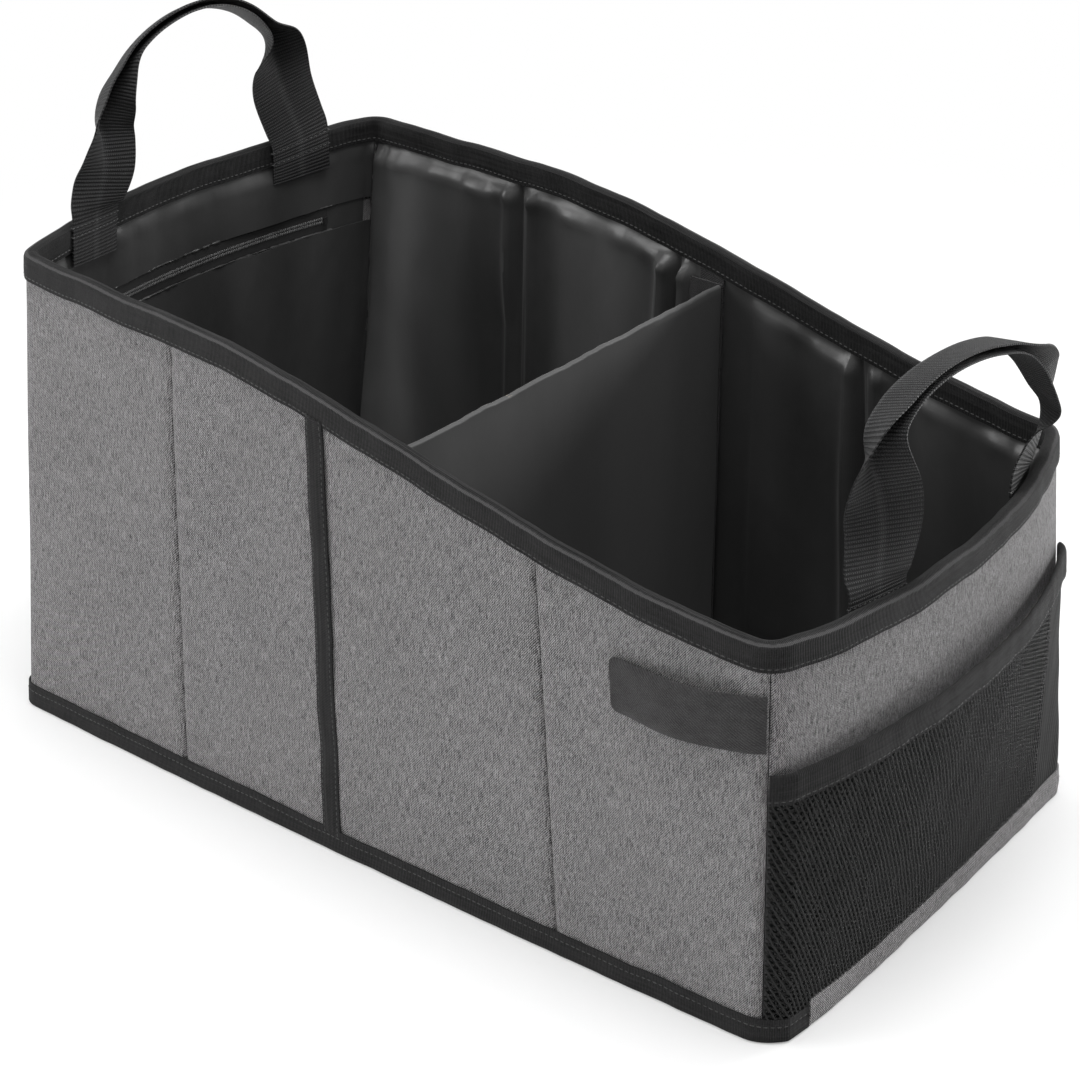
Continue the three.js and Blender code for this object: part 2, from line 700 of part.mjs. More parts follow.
const FRONT_COURSE = [
  [4.4, -69, 9, -9, 0, 0, 0],
  [0.8, -61.9, 26.5, -36, 0, 0, 0],
  [-3.2, -59.4, 41, -34, 0, 0.12, 0.08],
  [-6.7, -62.6, 56.7, -28, 0, 0.6, 0.5],
  [-10.2, -60.7, 69, -14, 6, 0.95, 0.92],
  [-12.7, -46.6, 76.2, -2, 14, 1, 1],
  [-13.7, -27.2, 80.6, 0, 16, 1, 1],
  [-13.7, -2.9, 82, 0, 12, 1, 1],
  [-13.7, 23.3, 79.6, 0, 6, 1, 1],
  [-13.7, 46.6, 73, 2, 0, 1, 1],
  [-11.7, 62.6, 61.7, 14, 0, 0.98, 0.98],
  [-9.2, 77.3, 43.2, 34, 0, 0.55, 0.55],
  [-6.7, 86, 30.6, 38, 0, 0.22, 0.22],
  [-5.2, 84, 20, 30, 0, 0, 0],
  [-5, 75, 9.5, 18, 0, 0, 0],
];

// One column of a table of rows, in straight lines between them.
function through(rows, column, at) {
  const i = Math.min(Math.floor(at), rows.length - 2);
  return mix(rows[i][column], rows[i + 1][column], at - i);
}

// A strap of webbing, flat where it is sewn inside the wall and folded in half lengthwise in the
// grip. On the way it turns and folds as its course says.
function handle(wall, place, span, course) {
  const rim = rimHeight(wall + place);
  const depth = LOOSE_FACE + WEBBING / 2 + HANDLE_EASE;
  const reach = ((wall === REAR ? 1 : -1) * span) / 2 / CASE_WIDTH;
  const ends = [wall + place + reach, wall + place - reach].map((q) => {
    const edge = wallPoint(q, rim, depth);
    const inwards = wallPoint(q, rim, depth + 1).sub(edge);
    if (inwards.x < 0) inwards.negate();
    const turn = THREE.MathUtils.radToDeg(Math.atan2(inwards.y, inwards.x));
    edge.z += 2;
    return { edge, tail: wallPoint(q, rim - HANDLE_TAIL, depth), turn };
  });
  const middle = ends[0].edge.clone().lerp(ends[1].edge, 0.5).setZ(rim);
  const row = (point, turn) => [...point.clone().sub(middle).toArray(), turn, 0, 0, 0];
  const rows = [
    row(ends[0].tail, ends[0].turn),
    row(ends[0].edge, ends[0].turn),
    ...course,
    row(ends[1].edge, ends[1].turn),
    row(ends[1].tail, ends[1].turn),
  ];
  const points = rows.map(([x, y, z]) => new THREE.Vector3(x, y, z).add(middle));
  const line = new THREE.CatmullRomCurve3(points, false, "centripetal");
  const steps = 3 * (rows.length - 1);
  const sections = [];
  for (let i = 0; i <= steps; i++) {
    const at = i / 3;
    const travel = line.getTangent(i / steps);
    const turn = THREE.MathUtils.degToRad(through(rows, 3, at));
    const tilt = THREE.MathUtils.degToRad(through(rows, 4, at));
    const folds = [5, 6].map((k) => (clamp01(through(rows, k, at)) * Math.PI * 0.97) / 2);
    const open = new THREE.Vector3(Math.cos(turn), Math.sin(turn), Math.tan(tilt));
    const inner = new THREE.Vector3().crossVectors(travel, open).normalize();
    open.crossVectors(inner, travel).normalize();
    sections.push(webbingSection(line.getPoint(i / steps), open, inner, folds));
  }
  return loft(sections);
}

// One section of the webbing: two halves hinged at the spine, each turned by its own fold angle
// towards the open side.
function webbingSection(at, open, inner, folds) {
  const half = WEBBING_WIDTH / 2 - 0.4;
  const thick = WEBBING / 2;
  const [[x0, y0, s0], [x1, y1, s1]] = folds.map((angle) => {
    const spine = mix(0.4, WEBBING * 0.62, Math.sin(angle));
    return [half * Math.sin(angle), spine + half * Math.cos(angle), spine];
  });
  const line = [
    [x0, -y0],
    [0, -s0],
    [0, s1],
    [x1, y1],
  ];
  const offset = (side) =>
    line.map(([x, y], i) => {
      const [ax, ay] = line[Math.max(0, i - 1)];
      const [bx, by] = line[Math.min(3, i + 1)];
      const before = new THREE.Vector2(x - ax, y - ay);
      const after = new THREE.Vector2(bx - x, by - y);
      if (i === 0) before.copy(after);
      if (i === 3) after.copy(before);
      before.normalize();
      after.normalize();
      const normal = new THREE.Vector2(-before.y - after.y, before.x + after.x).normalize();
      const stretch = thick / Math.max(0.6, normal.dot(new THREE.Vector2(-after.y, after.x)));
      return new THREE.Vector2(x + normal.x * side * stretch, y + normal.y * side * stretch);
    });
  const flat = [...offset(-1), ...offset(1).reverse()];
  const points = flat.map((p) => at.clone().addScaledVector(open, p.x).addScaledVector(inner, p.y));
  return { flat, points };
}

function addHandles() {
  const rear = handle(REAR, REAR_HANDLE_PLACE, REAR_HANDLE_SPAN, REAR_COURSE);
  const front = handle(FRONT, FRONT_HANDLE_PLACE, FRONT_HANDLE_SPAN, FRONT_COURSE);
  add("rear_handle", rear, STRAP_WEBBING);
  add("front_handle", front, STRAP_WEBBING);
}

// Y of a long wall's surface at a given depth, where its plan passes a given x.
function wallY(wall, x, z, depth) {
  let q = wall === NEAR ? nearAt(x) : farAt(x);
  for (let i = 0; i < 6; i++) {
    const miss = x - wallPoint(q, z, depth).x;
    q += ((wall === NEAR ? 1 : -1) * miss) / CASE_LENGTH;
  }
  return wallPoint(q, z, depth).y;
}

// The divider: a board in a fabric sleeve, with a hook-and-loop flap at each end that sticks to a
// loop strip on the wall. It lifts straight out.
function addDivider() {
  const levels = [FLOOR_TOP, DIVIDER_TOP / 2, DIVIDER_TOP, rimAt(DIVIDER_X)];
  const xs = [DIVIDER_X - FLAP_WIDTH, DIVIDER_X + BOARD];
  const faces = (wall) => xs.flatMap((x) => levels.map((z) => wallY(wall, x, z, LOOSE_FACE)));
  const nearY = Math.max(...faces(NEAR));
  const farY = Math.min(...faces(FAR));
  const half = DIVIDER_BOARD / 2 + GAP;
  const out = half + LINING;
  const sleeveNear = nearY + FLAP + GAP;
  const sleeveFar = farY - FLAP - GAP;
  const low = FLOOR_TOP + GAP;
  const sleeve = new THREE.Shape(
    [
      [-out, low],
      [-half, low],
      [-half, DIVIDER_TOP - LINING],
      [half, DIVIDER_TOP - LINING],
      [half, low],
      [out, low],
      [out, DIVIDER_TOP - LINING],
      [half, DIVIDER_TOP],
      [-half, DIVIDER_TOP],
      [-out, DIVIDER_TOP - LINING],
    ].map(([x, z]) => new THREE.Vector2(x, z)),
  );
  const cover = new THREE.ExtrudeGeometry(sleeve, {
    depth: sleeveFar - sleeveNear,
    bevelEnabled: false,
  });
  cover.rotateX(Math.PI / 2).translate(DIVIDER_X, sleeveFar, 0);
  add("divider_sleeve", cover, TAFFETA);
  const board = boxBetween(
    [DIVIDER_X - DIVIDER_BOARD / 2, sleeveNear + GAP, low + GAP],
    [DIVIDER_X + DIVIDER_BOARD / 2, sleeveFar - GAP, DIVIDER_TOP - LINING - GAP],
  );
  add("divider_board", board, FIBREBOARD);
  const flap = (name, fromY, toY) =>
    add(
      name,
      boxBetween([DIVIDER_X - FLAP_WIDTH, fromY, low], [DIVIDER_X + out, toY, DIVIDER_TOP]),
      FASTENER,
    );
  flap("divider_near_flap", nearY, nearY + FLAP);
  flap("divider_far_flap", farY - FLAP, farY);
  const stripTop = (q) => rimHeight(q) - RIM_BINDING_HEIGHT - GAP;
  const strip = (from, to) => sheet(from, to, FLOOR_TOP + GAP, stripTop, TAPE_FACE, TAPE_BACK);
  const stripRear = DIVIDER_X - FLAP_WIDTH;
  add("near_loop_strip", strip(nearAt(stripRear), nearAt(DIVIDER_X)), FASTENER);
  add("far_loop_strip", strip(farAt(DIVIDER_X), farAt(stripRear)), FASTENER);
}

// The closing strap: sewn into the front corner of the near wall, its free end held by a hook patch
function addClosingStrap() {
  const from = nearAt(STRAP_FREE_X);
  const to = seam(FRONT, -6);
  const share = (q) => clamp01((q - from) / (to - from));
  const stand = GAP + TAPE + GAP;
  const swell = (q) => stand + STRAP_BULGE * Math.sin(Math.PI * share(q)) ** 2;
  const low = (q) => STRAP_LOW_Z + STRAP_CLIMB * share(q);
  const band = alongWall(from, to, (q) => [
    [-swell(q) - STRAP, low(q)],
    [-swell(q), low(q)],
    [-swell(q), low(q) + STRAP_WIDTH],
    [-swell(q) - STRAP, low(q) + STRAP_WIDTH],
  ]);
  add("closing_strap", band, FASTENER);
  const patchEnd = nearAt(STRAP_FREE_X + HOOK_PATCH_LENGTH);
  const inset = 1;
  const patchLow = (q) => low(q) + inset;
  const patchHigh = (q) => low(q) + STRAP_WIDTH - inset;
  const patchStart = nearAt(STRAP_FREE_X + inset);
  const patch = sheet(patchStart, patchEnd, patchLow, patchHigh, -GAP - TAPE, -GAP);
  add("closing_strap_hook_patch", patch, FASTENER);
}

addOuterShell();
addWallBoards();
addLining();
addBase();
addBindings();
addMeshPocket();
addZippedPocket();
addZip();
addSlider();
addPull();
addHandles();
addDivider();
addClosingStrap();

export default organizer;
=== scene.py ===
# %% [markdown]
# # A fabric organizer for the back seat
# The real thing is a soft box: grey fabric outside, black lining inside, stiff boards between the
# two, and tape folded round every edge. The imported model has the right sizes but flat, faceted
# sheets. This lesson dresses it: each sheet of cloth is made again as a fine, slightly uneven
# surface in the same place, and each gets a woven material.
# %% Load the frame
import json
import math

import bpy
import numpy as np
from mathutils import Matrix, Vector


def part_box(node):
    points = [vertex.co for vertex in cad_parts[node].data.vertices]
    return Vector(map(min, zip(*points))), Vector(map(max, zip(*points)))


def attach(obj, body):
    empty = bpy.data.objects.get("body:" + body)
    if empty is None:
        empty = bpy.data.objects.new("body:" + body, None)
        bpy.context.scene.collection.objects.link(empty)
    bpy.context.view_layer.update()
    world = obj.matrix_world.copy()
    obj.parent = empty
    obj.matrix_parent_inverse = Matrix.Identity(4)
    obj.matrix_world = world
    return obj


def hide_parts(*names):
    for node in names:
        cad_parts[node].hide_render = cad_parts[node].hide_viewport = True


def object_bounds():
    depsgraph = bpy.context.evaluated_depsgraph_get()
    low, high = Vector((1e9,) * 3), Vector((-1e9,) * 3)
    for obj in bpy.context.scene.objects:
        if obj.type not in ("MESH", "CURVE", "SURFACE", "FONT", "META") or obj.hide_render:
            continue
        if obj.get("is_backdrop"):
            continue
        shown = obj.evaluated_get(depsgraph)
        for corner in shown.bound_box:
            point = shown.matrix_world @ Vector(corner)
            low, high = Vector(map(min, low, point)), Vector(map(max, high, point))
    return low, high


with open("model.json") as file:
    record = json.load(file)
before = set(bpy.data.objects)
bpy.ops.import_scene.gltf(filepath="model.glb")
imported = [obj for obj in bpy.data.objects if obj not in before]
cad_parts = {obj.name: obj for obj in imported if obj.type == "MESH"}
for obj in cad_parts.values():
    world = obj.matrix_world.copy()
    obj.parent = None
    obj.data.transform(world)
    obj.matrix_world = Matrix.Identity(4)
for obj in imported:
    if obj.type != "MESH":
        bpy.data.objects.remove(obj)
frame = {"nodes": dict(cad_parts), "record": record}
cad_low, cad_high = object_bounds()

# %% [markdown]
# ## The shape that every sheet follows
# The walls lean, bow outwards and meet in small round corners, and the rim falls from the tall rear
# end to the low front end. Every sheet, tape and seam lies on that one surface at some depth, so it
# is worked out once, as a table round the outline. A place on the outline is one number, q: its
# whole part is the wall (0 near, 1 front, 2 far, 3 rear), and its fraction is the share of that
# wall passed so far. Lengths here are in millimetres, and only the finished mesh is in metres.
# %% Sizes of the case
LENGTH, WIDTH = 480.0, 270.0
REAR_RIM, FRONT_RIM = 257.0, 203.0
SLOPE_START, SLOPE_END = -110.0, 250.0
CORNER_TRIM = 10.0
WALL_LENGTH = np.array([LENGTH, WIDTH, LENGTH, WIDTH])
BASE_CORNERS = np.array([[-240.0, -135.0], [240.0, -135.0], [240.0, 135.0], [-240.0, 135.0]])
RIM_LEAN = np.array([[12, 15], [-1.5, -1.5], [-16, -8], [14, 12.5]])
BASE_BOW, RIM_BOW = np.array([3.0, 9.5, 3, 6]), np.array([12.0, 25, 0, 23])
BASE_SKEW = np.array([1.0, 0.4, 1, 1])
RIM_POWER = np.array([2.0, 2.2, 2, 2])
FOLD_X = np.array([-116.0, -13, 126])
FOLD_SLIP = {0: [-4.0, -5, -13], 2: [-4.0, 10, -6]}
NEAR, FRONT, FAR, REAR = 0, 1, 2, 3
near_q = lambda x: NEAR + 0.5 + x / LENGTH
far_q = lambda x: FAR + 0.5 - x / LENGTH
rear_q = lambda y: REAR + 0.5 - y / WIDTH


def mix(a, b, t):
    return a + (b - a) * t


def smooth(t):
    t = np.clip(t, 0, 1)
    return t * t * (3 - 2 * t)


def bump_at(distance, width):
    return np.exp(-((distance / width) ** 2))


# %% The outline at one level
def slip(wall, t):
    xs = np.array([-LENGTH / 2, *FOLD_X, LENGTH / 2])
    near = np.interp((t - 0.5) * LENGTH, xs, [0, *FOLD_SLIP[0], 0]) / LENGTH
    far = -np.interp((0.5 - t) * LENGTH, xs, [0, *FOLD_SLIP[2], 0]) / LENGTH
    return np.where(wall == NEAR, near, np.where(wall == FAR, far, 0.0))


def wall_in_plan(wall, t, level):
    start = BASE_CORNERS[wall] + RIM_LEAN[wall] * level
    along = BASE_CORNERS[(wall + 1) % 4] + RIM_LEAN[(wall + 1) % 4] * level - start
    out = np.stack([along[:, 1], -along[:, 0]], 1)
    out /= np.linalg.norm(out, axis=1, keepdims=True)
    power = mix(2.0, RIM_POWER[wall], level)
    bow = mix(BASE_BOW[wall], RIM_BOW[wall], level)
    at = t + slip(wall, t) * level
    crest = np.clip(at, 0, None) ** mix(BASE_SKEW[wall], 1, level)
    swell = bow * (1 - np.abs(2 * crest - 1) ** power)
    return start + along * at[:, None] + out * swell[:, None]


def outline(q, level):
    wall = np.floor(q).astype(int) % 4
    t = q - np.floor(q)
    trim = CORNER_TRIM / WALL_LENGTH
    plain = wall_in_plan(wall, t, level)
    before = np.where(t > 0.5, wall, (wall + 3) % 4)
    after = (before + 1) % 4
    start = wall_in_plan(before, 1 - trim[before], level)
    end = wall_in_plan(after, trim[after], level)
    corner = BASE_CORNERS[after] + RIM_LEAN[after] * level
    turn = np.where(t > 0.5, 0.5 - 0.5 * (1 - t) / trim[wall], 0.5 + 0.5 * t / trim[wall])[:, None]
    turn = np.clip(turn, 0, 1)
    rounded = start * (1 - turn) ** 2 + corner * 2 * turn * (1 - turn) + end * turn**2
    inside = ((t >= trim[wall]) & (t <= 1 - trim[wall]))[:, None]
    return np.where(inside, plain, rounded)


# %% The table round the case
TABLE_Q = np.linspace(0, 4, 6401)


def inwards(points):
    ahead = np.roll(points[:-1], -3, 0) - np.roll(points[:-1], 3, 0)
    normal = np.stack([-ahead[:, 1], ahead[:, 0]], 1)
    normal /= np.linalg.norm(normal, axis=1, keepdims=True)
    return np.vstack([normal, normal[:1]])


BASE_LINE, RIM_LINE = outline(TABLE_Q, 0), outline(TABLE_Q, 1)
BASE_IN, RIM_IN = inwards(BASE_LINE), inwards(RIM_LINE)
fall = smooth((RIM_LINE[:, 0] - SLOPE_START) / (SLOPE_END - SLOPE_START))
RIM_Z = mix(REAR_RIM, FRONT_RIM, fall)
RUN = np.concatenate([[0], np.cumsum(np.linalg.norm(np.diff(RIM_LINE, axis=0), axis=1))])


def look(q, table):
    return np.interp(np.mod(q, 4.0), TABLE_Q, table)


def rim_z(q):
    return look(q, RIM_Z)


def run_at(q):
    """Length in millimetres round the rim, growing past one turn."""
    return look(q, RUN) + np.floor(np.asarray(q) / 4.0) * RUN[-1]


def on_wall(q, z, depth):
    """The point at outline place q, height z and depth below the outer face, in millimetres."""
    q, z, depth = np.broadcast_arrays(q, z, depth)
    share = z / rim_z(q)
    x0 = look(q, BASE_LINE[:, 0]) + depth * look(q, BASE_IN[:, 0])
    y0 = look(q, BASE_LINE[:, 1]) + depth * look(q, BASE_IN[:, 1])
    x1 = look(q, RIM_LINE[:, 0]) + depth * look(q, RIM_IN[:, 0])
    y1 = look(q, RIM_LINE[:, 1]) + depth * look(q, RIM_IN[:, 1])
    return np.stack([mix(x0, x1, share), mix(y0, y1, share), z + 0.0 * share], -1)


print("length round the rim: %.0f mm" % RUN[-1])

# %% [markdown]
# ## Uneven cloth
# Nothing sewn is flat. A few dozen long cosine waves with seeded directions give the same gentle
# swell on each run, and they can be made longer along one direction than along the other, as
# fabric hangs.
# %% Waves
def waves(u, v, seed, long_u, long_v, count=9):
    rng = np.random.default_rng(seed)
    total = np.zeros(np.broadcast(u, v).shape)
    for _ in range(count):
        a, b = rng.normal(0, 1, 2)
        phase = rng.uniform(0, 2 * math.pi)
        total += np.cos(2 * math.pi * (a * u / long_u + b * v / long_v) + phase)
    return total / math.sqrt(count / 2)


# %% [markdown]
# ## From arrays to meshes
# A sheet of cloth is two grids of points, its face and its back, joined round the edge so that it
# is one closed body. A tape is a row of equal sections joined one to the next. Both get a UV map
# in metres, measured along and across the cloth, so that a weave drawn on it has its real size.
# %% Mesh helpers
def make_mesh(name, points, faces, uvs, material):
    mesh = bpy.data.meshes.new(name)
    mesh.from_pydata((np.asarray(points) * 0.001).tolist(), [], [list(f) for f in faces])
    layer = mesh.uv_layers.new(name="cloth")
    loops = np.empty(len(mesh.loops), np.int32)
    mesh.loops.foreach_get("vertex_index", loops)
    layer.data.foreach_set("uv", (np.asarray(uvs)[loops] * 0.001).ravel())
    mesh.shade_smooth()
    mesh.set_sharp_from_angle(angle=math.radians(50))
    mesh.materials.append(material)
    piece = bpy.data.objects.new(name, mesh)
    bpy.context.scene.collection.objects.link(piece)
    return piece


def grid_faces(rows, cols, start=0, flip=False, ring=False):
    r, c = np.meshgrid(np.arange(rows - 1), np.arange(cols if ring else cols - 1), indexing="ij")
    a = start + r * cols + c
    b = start + r * cols + (c + 1) % cols
    quads = np.stack([a, b, b + cols, a + cols], -1).reshape(-1, 4)
    return quads[:, ::-1] if flip else quads


def cloth_sheet(name, face, back, uv, material):
    """A closed sheet from two grids of points (rows upwards, columns along the wall)."""
    rows, cols = face.shape[:2]
    size = rows * cols
    edge = np.concatenate(
        [
            np.arange(cols),
            np.arange(1, rows) * cols + cols - 1,
            size - 2 - np.arange(cols - 1),
            np.arange(rows - 2, 0, -1) * cols,
        ]
    )
    after = np.roll(edge, -1)
    rim = np.stack([edge, edge + size, after + size, after], -1)
    faces = np.vstack([grid_faces(rows, cols), grid_faces(rows, cols, size, True), rim])
    points = np.vstack([face.reshape(-1, 3), back.reshape(-1, 3)])
    flat = uv.reshape(-1, 2)
    return make_mesh(name, points, faces.tolist(), np.vstack([flat, flat]), material)


def lofted(name, sections, uv, material, ring=False):
    """A closed body from sections (stations, points round the section, 3)."""
    stations, around = sections.shape[:2]
    faces = grid_faces(stations, around, ring=True).tolist()
    if ring:
        last = (stations - 1) * around
        for i in range(around):
            j = (i + 1) % around
            faces.append([last + i, last + j, j, i])
    else:
        faces.append(list(range(around))[::-1])
        faces.append([(stations - 1) * around + i for i in range(around)])
    return make_mesh(name, sections.reshape(-1, 3), faces, uv.reshape(-1, 2), material)


def finish_piece(piece, body, nodes=()):
    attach(piece, body)
    if nodes:
        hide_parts(*nodes)
    return piece


# %% [markdown]
# ## Shader maths as plain expressions
# A node tree for a woven cloth is mostly arithmetic. One small class wraps a socket, so that a
# pattern can be written as it is read: `rows * 0.5 + 0.5` adds its Math nodes by itself.
# %% The expression class
class Term:
    """A socket that carries a number, a vector or a colour."""

    def __init__(self, tree, socket):
        self.tree, self.socket = tree, socket

    def math(self, operation, *others, clamp=False):
        node = self.tree.nodes.new("ShaderNodeMath")
        node.operation, node.use_clamp = operation, clamp
        for slot_, value in zip(node.inputs, (self, *others)):
            if isinstance(value, Term):
                self.tree.links.new(value.socket, slot_)
            else:
                slot_.default_value = value
        return Term(self.tree, node.outputs[0])

    def __add__(self, other):
        return self.math("ADD", other)

    def __mul__(self, other):
        return self.math("MULTIPLY", other)

    def __sub__(self, other):
        return self.math("SUBTRACT", other)

    def __rsub__(self, other):
        return (self * -1.0) + other

    def __truediv__(self, other):
        return self.math("DIVIDE", other)

    def __pow__(self, other):
        return self.math("POWER", other)

    __radd__, __rmul__ = __add__, __mul__

    def clamp(self):
        return self.math("ADD", 0.0, clamp=True)

    def wave(self, period):
        """1 at multiples of the period and 0 halfway between them."""
        return (self * (2 * math.pi / period)).math("COSINE") * 0.5 + 0.5

    def step(self, low, high):
        """0 below low, 1 above high, smooth between."""
        node = self.tree.nodes.new("ShaderNodeMapRange")
        node.interpolation_type = "SMOOTHSTEP"
        self.tree.links.new(self.socket, node.inputs["Value"])
        node.inputs["From Min"].default_value = low
        node.inputs["From Max"].default_value = high
        return Term(self.tree, node.outputs["Result"])


class Finish:
    """A new material with a Principled BSDF, and one method that adds any other node."""

    def __init__(self, name, **constants):
        self.material = bpy.data.materials.new(name)
        self.material.use_nodes = True
        self.tree = self.material.node_tree
        self.shader = self.tree.nodes["Principled BSDF"]
        for socket, value in constants.items():
            self.shader.inputs[socket.replace("_", " ")].default_value = value

    def node(self, kind, output=0, settings=(), **inputs):
        node = self.tree.nodes.new("ShaderNode" + kind)
        for key, value in dict(settings).items():
            setattr(node, key, value)
        for key, value in inputs.items():
            socket = node.inputs[key.replace("_", " ")]
            if isinstance(value, Term):
                self.tree.links.new(value.socket, socket)
            else:
                socket.default_value = value
        return Term(self.tree, node.outputs[output])

    def cloth(self):
        """Distance along and across the cloth in metres, from the piece's own UV map."""
        uv = self.node("UVMap", settings={"uv_map": "cloth"})
        parts = self.tree.nodes.new("ShaderNodeSeparateXYZ")
        self.tree.links.new(uv.socket, parts.inputs[0])
        return Term(self.tree, parts.outputs[0]), Term(self.tree, parts.outputs[1])

    def place(self):
        """Object coordinates, one after the other."""
        parts = self.tree.nodes.new("ShaderNodeSeparateXYZ")
        coords = self.tree.nodes.new("ShaderNodeTexCoord")
        self.tree.links.new(coords.outputs["Object"], parts.inputs[0])
        return [Term(self.tree, parts.outputs[i]) for i in range(3)]

    def noise(self, x, y, z=0.0, detail=2.0, rough=0.5):
        spot = self.node("CombineXYZ", X=x, Y=y, Z=z)
        return self.node("TexNoise", Vector=spot, Scale=1.0, Detail=detail, Roughness=rough)

    def colour(self, factor, low, high):
        """A colour between two greys or two colours."""
        full = lambda c: (*c, 1.0) if hasattr(c, "__len__") else (c, c, c, 1.0)
        node = self.tree.nodes.new("ShaderNodeMix")
        node.data_type = "RGBA"
        self.tree.links.new(factor.socket, node.inputs["Factor"])
        node.inputs[6].default_value, node.inputs[7].default_value = full(low), full(high)
        return Term(self.tree, node.outputs[2])

    def bump(self, height, distance, strength=1.0):
        normal = self.node("Bump", Height=height, Distance=distance, Strength=strength)
        self.tree.links.new(normal.socket, self.shader.inputs["Normal"])

    def set(self, **inputs):
        for key, value in inputs.items():
            self.tree.links.new(value.socket, self.shader.inputs[key.replace("_", " ")])
        return self


# %% [markdown]
# ## The outer fabric
# Heathered grey polyester is woven from threads that are themselves light or dark for a few
# millimetres at a time. From near by it shows fine upright streaks over a slanting twill, and from
# afar an even grey. Two stretched noises make the streaks, and one slanting wave the twill.
# %% Heather fabric
def heather_fabric(name, dark=0.016, light=0.385):
    m = Finish(name, Roughness=0.92, Sheen_Weight=0.12, Sheen_Roughness=0.5, Specular_IOR_Level=0.2)
    u, v = m.cloth()
    streaks = m.noise(u * 2600, v * 460, detail=2.0, rough=0.65)
    slubs = m.noise(u * 2300, v * 120, 7.0, detail=1.0)
    grains = m.noise(u * 2700, v * 2300, 3.0, detail=1.0)
    cloud = m.noise(u * 22, v * 15, 5.0, detail=2.0)
    twill = (u - v * 0.8).wave(0.00105)
    light_share = (
        (streaks - 0.5) * 2.4 + (slubs - 0.5) * 1.7 + (grains - 0.5) * 2.0
        + (cloud - 0.5) * 0.18 + (twill - 0.5) * 0.9 + 0.5
    ).clamp()
    low, high = (dark, dark * 0.98, dark * 0.99), (light, light * 0.975, light * 0.985)
    m.set(Base_Color=m.colour(light_share, low, high))
    m.bump(twill * 1.2 + streaks * 0.6 + grains * 0.6, 0.00025, 0.9)
    return m.material


HEATHER = heather_fabric("heather_fabric")

# %% [markdown]
# ## Tapes, webbing and the other cloths
# Grosgrain tape has fine ribs across it. Handle webbing has bold rows of slanting stitches.
# Lining taffeta is thin, black and smooth enough to shine softly where it bends, and broad paler bands in
# its colour are painted sheen. The brightest fold of the far lining gets a painted highlight, a paler band
# in its colour, which plain light doesn't give.
# The strap is brushed loop tape, the pocket is netting with oval holes in slanting rows.
# %% Grosgrain tape
def grosgrain(name, dark=0.006, light=0.032, fold=None):
    m = Finish(name, Roughness=0.85, Sheen_Weight=0.06, Sheen_Roughness=0.5, Specular_IOR_Level=0.10)
    u, v = m.cloth()
    wobble = m.noise(u * 60, v * 160, 1.0)
    ribs = (u + wobble * 0.0003).wave(0.0009)
    threads = m.noise(u * 1500, v * 300, 2.0, detail=2.0)
    grains = m.noise(u * 1700, v * 1700, 4.0, detail=1.0)
    worn = m.noise(u * 45, v * 90, 9.0, detail=2.0)
    rolls = m.noise(u * 16, v * 330, 6.0, detail=1.0)
    share = (ribs * 0.30 + threads * 0.7 + (grains - 0.5) * 0.9 + (worn - 0.5) * 0.6) * 0.9
    # Along the top fold the colour is paler, partly from the fuzz of the worn fold and partly as a painted
    # highlight. Past the fold the tape is painted darker: painted shade that holds down the strong light
    # from above on its top.
    if fold:
        fray = m.noise(u * 900, v * 500, 8.0, detail=2.0) * 0.0014 - 0.0007
        fold_fuzz_and_highlight = ((v + fray - fold).math("ABSOLUTE") * -1.0).step(-0.0013, -0.0002)
        share = share + fold_fuzz_and_highlight * 1.6 - v.step(0.0148, 0.0160) * 0.3
    share = share.math("MINIMUM", 1.6).math("MAXIMUM", 0.0) / 1.6
    high = light * 1.6
    m.set(Base_Color=m.colour(share, (dark, dark, dark * 1.02), (high, high * 0.985, high)))
    m.bump(ribs * 0.35 + threads * 0.25 + rolls * 2.2, 0.0006, 0.9)
    return m.material


TAPE = grosgrain("grosgrain_tape")
RIM_TAPE = grosgrain("rim_tape", fold=0.0139)


# %% Handle webbing
def webbing(name, dark=0.004, light=0.060):
    m = Finish(name, Roughness=0.62, Sheen_Weight=0.05, Sheen_Roughness=0.45, Specular_IOR_Level=0.25)
    u, v = m.cloth()
    rows = u.wave(0.0019)
    row_top = rows.step(0.2, 0.8)
    slant = (v + (u.math("PINGPONG", 0.0019)) * 0.9).wave(0.00115)
    fuzz = m.noise(u * 1100, v * 1100, 1.0, detail=2.0)
    worn = m.noise(u * 50, v * 70, 2.0, detail=2.0)
    spine = ((v - 0.019).math("ABSOLUTE") * -1.0).step(-0.0035, 0.0)
    rows_seen = row_top * (slant * 0.65 + 0.1)
    share = rows_seen + (fuzz - 0.5) * 0.9 + (worn - 0.5) * 0.3 + spine * 0.4 + 0.06
    # Painted light: the colour grows paler towards the top of the handle, where the light from above falls,
    # and darker down the legs.
    painted_top_light = (m.place()[2] - m.place()[0] * -0.11).step(0.275, 0.335)
    share = (share * (painted_top_light * 0.9 + 0.65)).math("MINIMUM", 1.6).math("MAXIMUM", 0.0) / 1.6
    high = light * 1.6
    m.set(Base_Color=m.colour(share, (dark, dark, dark * 1.04), (high, high, high * 1.02)))
    m.bump(row_top * (slant * 0.6 + 0.6) + fuzz * 0.25, 0.0006, 0.9)
    return m.material


WEBBING = webbing("handle_webbing")


